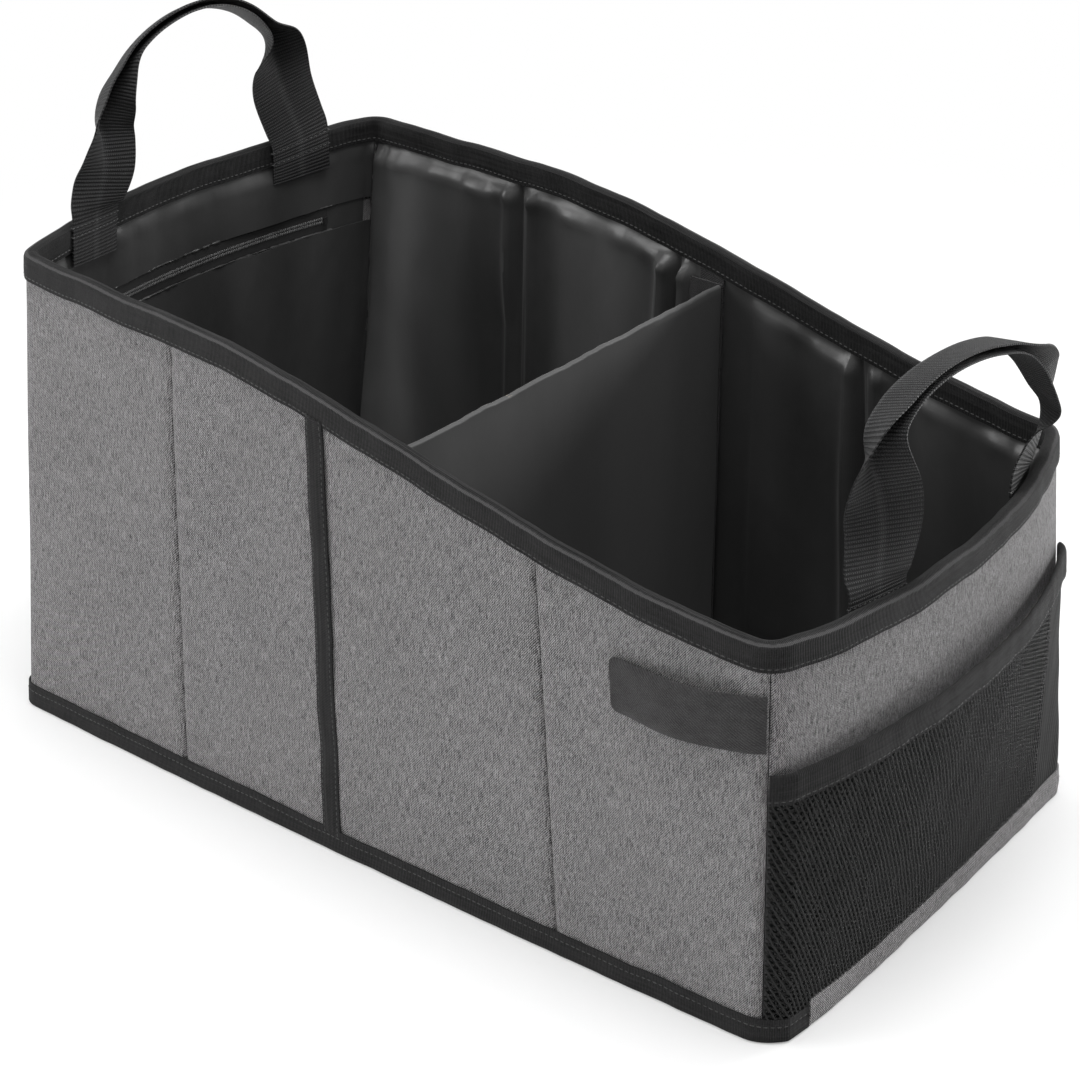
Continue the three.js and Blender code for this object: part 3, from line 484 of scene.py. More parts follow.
# %% Lining taffeta
def taffeta(name, base=0.050, rough=0.36, wrinkle=0.0011, sheen=0.10, painted_sheen_and_weave_range=0.55, painted_highlight_run=None):
    m = Finish(name, Sheen_Weight=sheen, Sheen_Roughness=0.35, Specular_IOR_Level=0.5)
    u, v = m.cloth()
    weave = u.wave(0.00062) * 0.5 + v.wave(0.00062) * 0.5
    creases = m.noise(u * 34, v * 17, 1.0, detail=3.0, rough=0.55)
    fine = m.noise(u * 120, v * 80, 2.0, detail=3.0)
    # Broad paler and darker bands at random places are painted sheen: they stand in for the soft gleams of
    # the satin.
    painted_sheen_bands = m.noise(u * 15, v * 2.4, 3.0, detail=1.0, rough=0.4).step(0.34, 0.68)
    share = (painted_sheen_bands * 0.75 + weave * 0.12 + fine * 0.13).clamp()
    reach = 1.0
    if painted_highlight_run:  # painted highlight: a paler band in the colour along one fold of the far lining, at this length round the rim
        reach = 2.2
        offset = (u + creases * 0.012 - painted_highlight_run - 0.006) / 0.014
        share = (share + (offset**2.0 * -1.0).math("EXPONENT") * v.step(0.02, 0.10) * 1.3) / reach
    m.set(
        Base_Color=m.colour(share, base * (1 - painted_sheen_and_weave_range), base * (1 - painted_sheen_and_weave_range + 2 * painted_sheen_and_weave_range * reach)),
        Roughness=(fine - 0.5) * 0.12 + rough,
    )
    m.bump(creases + fine * 0.12 + weave * 0.012, wrinkle, 0.8)
    return m.material


LINING = taffeta("lining_taffeta", painted_highlight_run=float(run_at(3.0)) / 1000 - 0.029)
BEHIND_NET = taffeta("cloth_behind_net", base=0.008, rough=0.6, sheen=0.0)
DIVIDER_CLOTH = taffeta("divider_cloth", base=0.052, rough=0.62, wrinkle=0.0004, sheen=0.2, painted_sheen_and_weave_range=0.2)
ZIP_TAPE = taffeta("zip_tape", base=0.022, rough=0.7, wrinkle=0.0003, sheen=0.1)


# %% Loop tape and netting
def loop_tape(name, dark=0.012, light=0.055):
    m = Finish(name, Roughness=0.95, Sheen_Weight=0.1, Sheen_Roughness=0.6, Specular_IOR_Level=0.15)
    u, v = m.cloth()
    twill = (u * 0.8 + v).wave(0.0014)
    fuzz = m.noise(u * 1300, v * 1300, 1.0, detail=3.0)
    matted = m.noise(u * 130, v * 200, 2.0, detail=2.0)
    share = ((fuzz - 0.5) * 1.5 + (twill - 0.5) * 0.35 + (matted - 0.5) * 0.8 + 0.5).clamp()
    m.set(Base_Color=m.colour(share, (dark, dark * 0.98, dark), (light, light * 0.97, light * 0.99)))
    m.bump(fuzz + twill * 0.4, 0.0004, 0.9)
    return m.material


LOOP_TAPE = loop_tape("loop_tape")
FLAP_TAPE = loop_tape("flap_tape", 0.007, 0.04)


def netting(name, pitch_u=0.0026, pitch_v=0.0030, dark=0.004, light=0.026):
    """Knitted net: rows of oval holes that lean, each row set off by half a hole."""
    m = Finish(name, Roughness=0.7, Specular_IOR_Level=0.15)
    u, v = m.cloth()
    lean = u + v * 0.42
    column = (lean / pitch_u).math("FLOOR")
    shift = (column.math("MODULO", 2.0).math("ABSOLUTE")) * 0.5
    across = (lean / pitch_u).math("FRACT") - 0.5
    along = (v / pitch_v + shift).math("FRACT") - 0.5
    oval = (across / 0.34) ** 2.0 + (along / 0.37) ** 2.0
    # By the far corner the holes are only drawn dark, because the shell behind them turns away
    y = m.place()[1]
    solid = oval.step(0.75, 1.25).math("MAXIMUM", y.step(0.088, 0.100))
    threads = m.noise(u * 2600, v * 1100, 2.0, detail=1.0)
    ridge = across.math("ABSOLUTE").step(0.25, 0.5)
    share = (ridge * 0.55 + (threads - 0.5) * 0.9 + 0.25).clamp()
    hole = oval.step(1.25, 0.75)
    share = (share - hole * 2.0).clamp()
    m.set(Base_Color=m.colour(share, dark, (light, light, light)), Alpha=solid)
    m.bump(solid * 0.6 + ridge * 0.6, 0.0005, 0.8)
    return m.material


NET = netting("pocket_netting")


# %% Thread, board and painted metal
def thread(name, grey):
    m = Finish(name, Roughness=0.6, Sheen_Weight=0.2)
    x, y, z = m.place()
    fibres = m.noise(x * 3000, y * 3000, z * 3000)
    m.set(Base_Color=m.colour(fibres, grey * 0.6, grey * 1.5))
    return m.material


THREAD = thread("sewing_thread", 0.026)
GREY_THREAD = thread("grey_thread", 0.11)


def fibreboard(name):
    m = Finish(name, Roughness=0.9)
    x, y, z = m.place()
    fibres = m.noise(x * 400, y * 400, z * 400, detail=4.0)
    m.set(Base_Color=m.colour(fibres, (0.30, 0.25, 0.18), (0.50, 0.43, 0.34)))
    m.bump(fibres, 0.0002)
    return m.material


BOARD = fibreboard("fibreboard")


def painted_metal(name):
    m = Finish(name, Metallic=0.0, Specular_IOR_Level=0.5, Coat_Weight=0.3)
    x, y, z = m.place()
    spots = m.noise(x * 900, y * 900, z * 900, detail=3.0)
    m.set(Base_Color=m.colour(spots, 0.012, 0.03), Roughness=spots * 0.25 + 0.25)
    m.bump(spots, 0.00004)
    return m.material


METAL = painted_metal("painted_zinc")
print("materials:", len(bpy.data.materials))

# %% [markdown]
# ## The outer shell
# Six panels of heather fabric. On the long walls the boards inside stop at the fold lines, so the
# cloth dips into a thin groove there and swells a little beside it. Under the rim tape and above
# the bottom tape the sewing draws it into short puckers.
# %% Panels of the shell
OUTER, LINING_DEPTH = 0.9, 5.0
FOLDS = {"near": near_q(FOLD_X[[0, 2]]), "far": far_q(FOLD_X[[0, 2]])}


def spread(a, b, step, length):
    return np.linspace(a, b, max(2, int(round((b - a) * length / step)) + 1))


BESIDE_MARK = np.array([-12, -8, -5, -3, -2, -1.2, -0.6, 0, 0.6, 1.2, 2, 3, 5, 8, 12])


def columns(q0, q1, step=3.5, marks=()):
    """Places along the outline, about a step apart, with extra ones round corners and marks."""
    places = [spread(q0, q1, step, 400)]
    for corner in range(math.floor(q0), math.ceil(q1) + 1):
        places.append(corner + np.linspace(-0.05, 0.05, 25))
    for mark in marks:
        places.append(mark + BESIDE_MARK / LENGTH)
    q = np.unique(np.concatenate(places).round(6))
    q = q[(q > q0 + 2e-4) & (q < q1 - 2e-4)]
    return np.concatenate([[q0], q, [q1]])


def crease(q, folds, deep, wide=1.1):
    """A sharp valley at each fold line, with a soft shoulder on both sides."""
    sunk = np.zeros_like(q)
    for fold in folds:
        d = np.abs(q - fold) * LENGTH
        sunk += deep * np.exp(-d / wide) - 0.25 * deep * bump_at(d - 7, 5.0)
    return sunk


def pillow(q, places):
    """0 at the given places and 1 halfway between two of them, as cloth on a flat board."""
    places = np.sort(places)
    i = np.clip(np.searchsorted(places, q) - 1, 0, len(places) - 2)
    t = (q - places[i]) / (places[i + 1] - places[i])
    return 1 - np.abs(2 * np.clip(t, 0, 1) - 1) ** 3


def puckers(q, z, top, seed, size, reach=16.0):
    u = run_at(q)
    tufts = waves(u, z, seed, 16, 90) * 0.5 + waves(u, z, seed + 1, 34, 120)
    return size * tufts * np.exp(-np.clip(top - z, 0, None) / reach)


def shell_panel(name, q0, q1, folds, seed):
    q = columns(q0, q1, marks=folds)
    low, rows = 1.1, 60
    share = np.linspace(0, 1, rows)[:, None]
    top = rim_z(q)[None, :] - 4.0
    z = low + share * (top - low)
    qq = np.broadcast_to(q, z.shape)
    u = run_at(qq)
    free = smooth((top - 14 - z) / 30) * smooth((z - 14) / 25)
    sink = crease(qq, folds, 2.0) - 0.8 * pillow(qq, [q0, *folds, q1]) * free
    sink = sink + 0.25 * waves(u, z, seed, 160, 260) * free
    sink = sink + puckers(qq, z, top, seed + 2, 0.22) + puckers(qq, 16 - z, 0, seed + 4, 0.12)
    edge = np.minimum(qq - q0, q1 - qq) * 400
    sink = sink + 0.9 * bump_at(edge, 1.6)
    sink = np.clip(sink, -1.6, 2.4)
    face, back = on_wall(qq, z, sink), on_wall(qq, z, sink + OUTER)
    uv = np.stack([u, z], -1)
    return cloth_sheet(name, face, back, uv, HEATHER), cut_area(q, top[0] - low)


def cut_area(q, tall):
    """Flat area in square metres of a panel along the outline."""
    u = run_at(q)
    return float(np.sum(np.diff(u) * (tall[1:] + tall[:-1]) / 2)) * 1e-6


CENTRE = FOLD_X[1]
SHELL = {
    "near_rear_outer_panel": (NEAR, near_q(CENTRE), FOLDS["near"][:1], 11),
    "near_front_outer_panel": (near_q(CENTRE), FRONT - 0.0006, FOLDS["near"][1:], 12),
    "front_outer_panel": (FRONT + 0.0006, FAR, [], 13),
    "far_front_outer_panel": (FAR, far_q(CENTRE), FOLDS["far"][1:], 14),
    "far_rear_outer_panel": (far_q(CENTRE), REAR, FOLDS["far"][:1], 15),
    "rear_outer_panel": (REAR, 4.0, [], 16),
}
shell = {}
for node, (q0, q1, folds, seed) in SHELL.items():
    piece, area = shell_panel(node + "_cloth", q0, q1, list(folds), seed)
    shell[node] = finish_piece(piece, "case", [node])
    across = (run_at(q1 - 1e-6) - run_at(q0)) / 1000
    side = node.split("_")[0]
    board = side + ("_wall_board_2" if side in ("near", "far") else "_wall_board")

# Behind the netting the shell is black, so the lower faces of the front panel change material.
front = shell["front_outer_panel"].data
front.materials.append(BEHIND_NET)
NET_COVERS = 0.128  # metres above the ground
heights = np.array([p.center.z for p in front.polygons])
front.polygons.foreach_set("material_index", (heights < NET_COVERS).astype(np.int32))
print("shell panels:", len(shell))

# %% [markdown]
# ## The lining
# The lining hangs inside the boards. It is thin and cut a little large, so it bags between its
# seams and bulges in a row of puckers under the rim tape. At the fold lines the sewing holds it
# down in a narrow gap, with a round ridge on each side.
# %% Lining panels
FAR_SEED = 23


def lining_depth(q, z, seed, folds, size=1.0):
    """Depth of the lining's inner face. It never lies further out than the boards allow."""
    below = rim_z(q) - 13.0 - z
    u = run_at(q)
    free = smooth(below / 10) * smooth((z - 6) / 30)
    edge = np.ones_like(u)
    for fold in [*folds, np.floor(q.min()), np.ceil(q.max())]:
        d = np.abs(q - fold) * 420
        edge = edge * smooth(d / 5) * (1 + 0.9 * bump_at(d - 8, 5))
    bag = (2.4 + 1.7 * waves(u, z, seed, 110, 560) + 0.8 * waves(u, z, seed + 1, 45, 210)).clip(0, 7)
    for fold in folds:
        bag = bag + 1.6 * bump_at(np.abs(q - fold) * LENGTH - 7, 4)
    if seed == FAR_SEED:
        bag = bag + (4.5 - 0.012 * (230 - z)) * bump_at((REAR - q) * LENGTH - 24 + 0.04 * (230 - z), 11)
    bunch = 0.8 + 0.6 * waves(u, z, seed + 3, 34, 200) + 0.35 * waves(u, z, seed + 4, 12, 60)
    tuck = 0.95 * bunch.clip(0, 2.4) * bump_at(below - 6.0, 5.0) * smooth(below / 3)
    depth = LINING_DEPTH + size * edge * (bag * free + tuck)
    for fold in folds:
        depth = depth - 1.1 * bump_at((q - fold) * LENGTH, 1.3)
    return depth


def lining_panel(name, q0, q1, low, high, folds, seed, size=1.0, rows=70):
    q = columns(q0, q1, marks=folds)
    share = np.linspace(0, 1, rows)[:, None] ** 0.8
    top = np.broadcast_to(high(q) if callable(high) else high, q.shape)[None, :]
    z = low + share * (top - low)
    qq = np.broadcast_to(q, z.shape)
    quiet = 1.0
    if size >= 1.0:
        beside = DIVIDER_SIDE - np.abs(on_wall(qq, z, 5.0)[..., 0] - DIVIDER_X)
        quiet = 1 - smooth((beside + 6) / 10)
    depth = LINING_DEPTH + (lining_depth(qq, z, seed, folds, size) - LINING_DEPTH) * quiet
    inner, outer = on_wall(qq, z, depth), on_wall(qq, z, depth - 0.5)
    uv = np.stack([run_at(qq), z], -1)
    return cloth_sheet(name, outer, inner, uv, LINING), cut_area(q, top[0] - low)


DIVIDER_X, DIVIDER_SIDE = 23.0, 20.0
FLOOR_TOP = 4.2
under_tape = lambda q: rim_z(q) - 2.0
LININGS = {
    "near_lining": (NEAR, FRONT, FLOOR_TOP, under_tape, list(near_q(FOLD_X)), 21, 1.0),
    "front_lining": (FRONT, FAR, FLOOR_TOP, under_tape, [], 22, 0.7),
    "far_lining": (FAR, REAR, FLOOR_TOP, under_tape, list(far_q(FOLD_X)), 23, 1.0),
    "rear_upper_lining": (REAR, 4.0, 211.0, under_tape, [], 24, 0.35),
    "zip_pocket_front": (REAR, 4.0, FLOOR_TOP, 197.0, [], 25, 0.35),
}
for node, (q0, q1, low, high, folds, seed, size) in LININGS.items():
    rows = 30 if low > FLOOR_TOP else 70
    piece, area = lining_panel(node + "_cloth", q0, q1, low, high, folds, seed, size, rows)
    finish_piece(piece, "case", [node])
    across = (run_at(q1 - 1e-6) - run_at(q0)) / 1000
    board = ("near_wall_board_2", "front_wall_board", "far_wall_board_2", "rear_wall_board")[q0]
    node == "zip_pocket_front"

q = columns(REAR + 0.037, 4 - 0.037)
share = np.linspace(0, 1, 40)[:, None]
z = mix(3.7, 210.7, share) + 0 * q
qq = np.broadcast_to(q, z.shape)
uv = np.stack([run_at(qq), z], -1)
pocket_back = cloth_sheet("zip_pocket_back_cloth", on_wall(qq, z, 3.75), on_wall(qq, z, 4.15), uv, LINING)
finish_piece(pocket_back, "case", ["zip_pocket_back"])

# %% [markdown]
# ## Floor and base cover
# Both are flat sheets cut to the outline. A grid is pulled to the outline row by row: each row
# runs from the near wall to the far wall, so no corner needs a special case.
# %% Floor and base
def plate(name, depth, low, high, material, swell=0.0, seed=31):
    """A flat sheet inside the outline, with its upper face slightly uneven."""
    long, wide = 97, 55
    edge = lambda start, end, count: on_wall(np.linspace(start, end, count), high, depth)
    t = np.linspace(0, 1, wide)[:, None, None]
    grid = mix(edge(NEAR, FRONT, long)[None], edge(REAR, FAR, long)[None], t)
    rear_line, front_line = edge(4, REAR, wide), edge(FRONT, FAR, wide)
    share = np.linspace(0, 1, long)[None, :, None]
    straight = mix(grid[:, :1], grid[:, -1:], share)
    grid = grid + mix(rear_line[:, None], front_line[:, None], share) - straight
    grid[..., 2] = high + swell * waves(grid[..., 0], grid[..., 1], seed, 120, 120)
    under = grid.copy()
    under[..., 2] = low
    return cloth_sheet(name, grid, under, grid[..., :2].copy(), material)


floor = plate("floor_lining_cloth", 6.0, 3.7, 4.2, LINING, 0.12)
base = plate("base_cover_cloth", 6.3, 0.0, 0.9, HEATHER)
finish_piece(floor, "case", ["floor_lining"])
finish_piece(base, "case", ["base_cover"])

# %% [markdown]
# ## Tapes round the edges
# A tape is lofted: its section is a short row of points, and it is set at every few millimetres
# of the outline. A little noise in its depth and height keeps the edge from looking machined.
# %% Rim and bottom tapes
TAPE_POINTS = {}


def tape_along(name, q, section, material, seed, ring=False, wobble=0.25):
    """section(q) gives rows of (depth, z) for each place, shaped (places, points, 2)."""
    pairs = section(q)
    u = run_at(q)
    shake = wobble * waves(u, 0, seed, 30, 1)[:, None]
    lift = wobble * 0.8 * waves(u, 0, seed + 1, 45, 1)[:, None]
    held = smooth(np.abs(pairs[..., 1]) / 4) if "bottom" in name else 1.0
    points = on_wall(q[:, None], pairs[..., 1] + lift * held, pairs[..., 0] + shake * 0.6)
    TAPE_POINTS[name] = points
    across = np.cumsum(
        np.linalg.norm(np.diff(pairs, axis=1, prepend=pairs[:, :1]), axis=2), axis=1
    )
    uv = np.stack([np.broadcast_to(u[:, None], across.shape), across], -1)
    return lofted(name, points[:, ::-1], uv[:, ::-1], material, ring)


def folded(outer, inner, height, drop=0.0):
    """Section of a tape folded over an edge: out and up, over, and down inside."""
    t = 0.8
    mid = (outer + inner) / 2
    return np.array(
        [
            [outer, -height], [outer - t, -height - drop], [outer - t - 0.15, -height * 0.6],
            [outer - t - 0.05, -2.2], [outer - t + 0.35, -0.7], [mix(outer, mid, 0.5), -0.05],
            [mid, 0.1], [mix(inner, mid, 0.5), -0.05], [inner + t - 0.35, -0.7], [inner + t + 0.05, -2.2],
            [inner + t + 0.15, -height * 0.6], [inner + t, -height], [inner, -height],
            [inner, -1.6], [mid, -0.9], [outer, -1.6],
        ]
    )


def rim_section(q):
    pairs = np.tile(folded(-0.3, 5.35, 13.0), (len(q), 1, 1))
    pairs[..., 1] += rim_z(q)[:, None]
    return pairs


ring_q = columns(0.0, 4.0, 2.2)[:-1]
rim_tape = tape_along("rim_binding_tape", ring_q, rim_section, RIM_TAPE, 41, ring=True)
finish_piece(rim_tape, "case", ["rim_binding"])


def bottom_section(q, top=13.0, out=1.1):
    low = np.array(
        [
            [6, 0.0], [-0.3, 0.0], [-0.9, 0.25], [-1.2, 0.9], [-out - 0.15, 7],
            [-out, top], [-0.3, top], [-0.35, 6], [-0.3, 0.9], [6, 0.8],
        ]
    )
    return np.tile(low[::-1], (len(q), 1, 1))


STRIP_Q = FRONT + 24.0 / WIDTH
bottom_q = columns(FAR, 4 + STRIP_Q, 2.5)
bottom_tape = tape_along("bottom_binding_tape", bottom_q, bottom_section, TAPE, 43, wobble=0.2)
finish_piece(bottom_tape, "case", ["bottom_binding"])
strip_q = columns(STRIP_Q + 0.001, FAR - 0.001, 2.5)
strip_section = lambda q: bottom_section(q, 15.5, 1.9)
front_strip = tape_along("front_bottom_strip_cloth", strip_q, strip_section, HEATHER, 45, wobble=0.2)
finish_piece(front_strip, "case", ["front_bottom_strip"])


# %% [markdown]
# ## Tapes over the centre seams
# On each long wall two panels meet in the middle, and a tape is sewn over the join. It is a flat
# strip, a little crowned, that ends under the rim tape and at the bottom tape.
# %% Upright tapes
def upright_tape(name, q_mid, node, seed):
    """A strip down the wall from the rim tape to the bottom tape."""
    share = np.linspace(0, 1, 70)[:, None]
    offset = np.linspace(-5.6, 5.6, 9)[None, :]
    q = q_mid + (offset + 0.35 * waves(share * 200, 0, seed, 60, 1)) / LENGTH
    z = mix(11.0, rim_z(q) - 11.0, share)
    crown = -0.35 - 0.8 - 0.5 * (1 - (offset / 5.6) ** 2) + 0.15 * waves(z, offset, seed, 40, 30)
    face, back = on_wall(q, z, crown), on_wall(q, z, crown + 0.8)
    uv = np.stack([z + 0 * q, offset + 0 * z], -1)
    piece = finish_piece(cloth_sheet(name, face, back, uv, TAPE), "case", [node])
    TAPE_POINTS[name] = face
    return piece


for side, q_mid, seed in (("near", near_q(CENTRE), 51), ("far", far_q(CENTRE), 52)):
    panel = side + "_rear_outer_panel_cloth"
    upright_tape(side + "_centre_tape", q_mid, side + "_centre_binding", seed)
print("tapes made")

# %% [markdown]
# ## The mesh pocket
# The netting is stretched between the bottom strip and a folded tape, and stands off the wall in
# the middle. Its holes are drawn by the material's alpha, so the black cloth behind shows through,
# except by the far corner.
# %% Netting and its tape
POCKET_TOP, POCKET_RISE, POCKET_SWELL = 142.0, 6.0, 9.0


def pocket_swell(q, z):
    t = np.clip(q - FRONT, 0, 1)
    up = np.clip((z - 13) / (POCKET_TOP - 13), 0, 1)
    return POCKET_SWELL * np.sin(np.pi * t) * np.sin(np.pi / 2 * up**0.8)


def pocket_top(q):
    return POCKET_TOP + POCKET_RISE * np.sin(np.pi * np.clip(q - FRONT, 0, 1))


q = columns(FRONT + 0.0015, FAR - 0.0015, 3.0)
share = np.linspace(0, 1, 44)[:, None]
z = mix(10.5, pocket_top(q)[None, :] - 4.0, share)
qq = np.broadcast_to(q, z.shape)
loose = smooth((z - 14) / 8)
off = mix(1.1, 1.8, loose) + pocket_swell(qq, z) + 0.25 * waves(run_at(qq), z, 61, 60, 60) * loose
uv = np.stack([run_at(qq), z], -1)
net = cloth_sheet("mesh_pocket_net", on_wall(qq, z, -off), on_wall(qq, z, -off + 0.7), uv, NET)
finish_piece(net, "case", ["mesh_pocket"])


def pocket_tape_section(q):
    inner = -1.1 - pocket_swell(q, pocket_top(q))
    pairs = np.array([folded(0.0, 1.6, 14.2)] * len(q))
    pairs[..., 0] = inner[:, None] - 2.4 + pairs[..., 0]
    lean = (pocket_swell(q, pocket_top(q)) - pocket_swell(q, pocket_top(q) - 14))[:, None]
    pairs[..., 0] += lean * (-pairs[..., 1] / 14)
    pairs[..., 1] += pocket_top(q)[:, None]
    return pairs


tape_q = columns(FRONT + 0.0015, FAR - 0.0015, 2.5)
pocket_tape = tape_along("mesh_pocket_tape", tape_q, pocket_tape_section, TAPE, 63, wobble=0.4)
finish_piece(pocket_tape, "case", ["mesh_pocket_binding"])

# %% [markdown]
# ## Handles
# Each handle is one length of 38 mm webbing. Its ends are sewn flat inside the rim, and in the grip
# it is folded in half lengthwise. A table gives its course as the photograph shows it: where the
# middle line runs, which way the strap faces, and how far each half is folded. A spline runs
# through the places, and the section turns and folds smoothly from one row to the next.
# %% The route of each handle
WEB, HALF_WEBBING = 1.5, 18.8
# Place of the spine (x, y, height above the rim), turn, tilt, and fold of each half
REAR_COURSE = [
    [0.8, -76, 7, 4, 0, 0, 0], [1.3, -73, 16, -6, 0, 0, 0], [1.3, -69.5, 26, -8, 0, 0.1, 0],
    [-0.7, -67.8, 38, -10, 0, 0.45, 0], [-3.7, -67.3, 49, -12, 2, 0.82, 0.15],
    [-6.7, -60.7, 58.7, -22, 8, 0.95, 0.5], [-7.7, -49, 68.1, -34, 16, 1, 0.95],
    [-7.7, -38.4, 76.5, -32, 20, 1, 1], [-7.7, -23.5, 83.9, -24, 24, 1, 1], [-7.7, -5, 88.5, -12, 24, 1, 1],
    [-7.7, 14.8, 88.5, -4, 20, 1, 1], [-7.7, 34.6, 82.1, 0, 8, 1, 1], [-7.7, 49.9, 71.8, 0, -4, 1, 1],
    [-5.7, 58.8, 62.8, -6, -4, 0.85, 0.85], [-3.7, 62.2, 50.7, -18, 0, 0.2, 0.2],
    [-1.7, 65.9, 31, -16, 0, 0, 0], [-0.6, 73.4, 11, -12, 0, 0, 0],
]
FRONT_COURSE = [
    [4.4, -69, 9, -9, 0, 0, 0], [0.8, -61.9, 26.5, -36, 0, 0, 0], [-3.2, -59.4, 41, -34, 0, 0.12, 0.08],
    [-6.7, -62.6, 56.7, -28, 0, 0.6, 0.5], [-10.2, -60.7, 69, -14, 6, 0.95, 0.92],
    [-12.7, -46.6, 76.2, -2, 14, 1, 1], [-13.7, -27.2, 80.6, 0, 16, 1, 1], [-13.7, -2.9, 82, 0, 12, 1, 1],
    [-13.7, 23.3, 79.6, 0, 6, 1, 1], [-13.7, 46.6, 73, 2, 0, 1, 1], [-11.7, 62.6, 61.7, 14, 0, 0.98, 0.98],
    [-9.2, 77.3, 43.2, 34, 0, 0.55, 0.55], [-6.7, 86, 30.6, 38, 0, 0.22, 0.22],
    [-5.2, 84, 20, 30, 0, 0, 0], [-5, 75, 9.5, 18, 0, 0, 0],
]


def unit(v):
    return v / np.linalg.norm(v, axis=-1, keepdims=True)


def through_points(points, steps):
    """A centripetal spline with equal steps between each pair of points."""
    p = np.vstack([2 * points[0] - points[1], points, 2 * points[-1] - points[-2]])
    line = []
    for p0, p1, p2, p3 in zip(p, p[1:], p[2:], p[3:]):
        d0, d1, d2 = [max(1e-4, np.linalg.norm(b - a) ** 0.5) for a, b in ((p0, p1), (p1, p2), (p2, p3))]
        t1 = ((p1 - p0) / d0 - (p2 - p0) / (d0 + d1) + (p2 - p1) / d1) * d1
        t2 = ((p2 - p1) / d1 - (p3 - p1) / (d1 + d2) + (p3 - p2) / d2) * d1
        s = np.arange(steps)[:, None] / steps
        line.append(p1 + t1 * s + (3 * (p2 - p1) - 2 * t1 - t2) * s**2 + (2 * (p1 - p2) + t1 + t2) * s**3)
    return np.vstack([*line, points[-1:]])


def eased(values, steps, reach=10):
    """The same steps through a column of numbers, with its corners rounded."""
    fine = np.interp(np.arange((len(values) - 1) * steps + 1) / steps, np.arange(len(values)), values)
    padded = np.concatenate([np.full(reach, fine[0]), fine, np.full(reach, fine[-1])])
    return np.convolve(padded, np.ones(2 * reach + 1) / (2 * reach + 1), "valid")


# %% Section of the webbing and the loft
STEPS_OUT = np.array([0, 0.45, 0.9, 1.4, 2.2, 4.5, 8, 13, HALF_WEBBING])


def half_section(angle, side):
    """From the spine out to one selvage: (towards the open side, across)."""
    turned = angle * smooth(STEPS_OUT / 1.4)
    step = np.diff(STEPS_OUT)
    middle = (turned[1:] + turned[:-1]) / 2
    open_ = np.concatenate([[0], np.cumsum(step * np.sin(middle))])
    across = np.concatenate([[0], np.cumsum(step * np.cos(middle))])
    across += 0.25 * math.sin(angle) * smooth(STEPS_OUT)
    return np.stack([open_, side * across], -1)


HANDLE_LINES = {}


def handle(name, node, wall, span, place_, course):
    steps, centre = 10, wall + place_
    rim = float(rim_z(np.array(centre)))
    reach = (1 if wall == REAR else -1) * span / 2 / WIDTH
    ends = []
    for q in (centre + reach, centre - reach):
        inward = on_wall(q, rim, 9.25) - on_wall(q, rim, 8.25)
        inward = inward * (1 if inward[0] > 0 else -1)
        turned = math.degrees(math.atan2(inward[1], inward[0]))
        foot, neck = on_wall(q, rim - 22, 8.25), on_wall(q, rim, 8.25) + [0, 0, 2]
        ends.append([(*foot, turned), (*neck, turned)])
    middle = (np.array(ends[0][1][:3]) + ends[1][1][:3]) / 2
    middle[2] = rim
    fixed = lambda end: [*(np.array(end[:3]) - middle), end[3], 0, 0, 0]
    first, last = [fixed(end) for end in ends[0]], [fixed(end) for end in ends[1][::-1]]
    table = np.array([*first, *course, *last])
    table[1, 1] += 1.5
    table[-2, 1] -= 1.5
    line = through_points(table[:, :3], steps) + middle
    turned, tilt, fold_a, fold_b = [eased(table[:, k], steps) for k in (3, 4, 5, 6)]
    turned, tilt = np.radians(turned), np.radians(tilt)
    travel = unit(np.stack([eased(column, 1, 14) for column in unit(np.gradient(line, axis=0)).T], -1))
    want = np.stack([np.cos(turned) * np.cos(tilt), np.sin(turned) * np.cos(tilt), np.sin(tilt)], -1)
    inner = unit(np.cross(travel, want))
    open_ = unit(np.cross(inner, travel))
    at = np.concatenate([[0], np.cumsum(np.linalg.norm(np.diff(line, axis=0), axis=1))])
    shake = 0.25 * waves(at, 0, 91, 40, 1)
    sections, uvs = [], []
    for i, point in enumerate(line):
        a, b = [np.clip(fold[i], 0, 1) * math.pi * 0.97 / 2 for fold in (fold_a, fold_b)]
        mid = np.vstack([half_section(a, -1)[::-1], half_section(b, 1)[1:]])
        mid[:, 0] += shake[i] * np.concatenate([STEPS_OUT[::-1], STEPS_OUT[1:]]) / HALF_WEBBING
        ahead = unit(np.gradient(mid, axis=0))
        normal = np.stack([-ahead[:, 1], ahead[:, 0]], -1)
        edge = np.ones((17, 1)) * WEB / 2
        edge[[0, -1]] *= 0.55
        around = np.vstack([mid - normal * edge, (mid + normal * edge)[::-1]])
        sections.append(point + around[:, :1] * open_[i] + around[:, 1:] * inner[i])
        width = 19 + np.concatenate([-STEPS_OUT[::-1], STEPS_OUT[1:]])
        uvs.append(np.stack([np.full(34, at[i]), np.concatenate([width, width[::-1]])], -1))
    sections = np.array(sections)
    piece = lofted(name, sections, np.array(uvs), WEBBING)
    finish_piece(piece, "case", [node])
    HANDLE_LINES[name] = (sections[:, :17], sections[:, :16:-1], open_, at)
    print(name, "is", round(at[-1]), "mm of webbing")


handle("rear_handle_webbing", "rear_handle", REAR, 160, 0.50, REAR_COURSE)
handle("front_handle_webbing", "front_handle", FRONT, 147, 0.52, FRONT_COURSE)

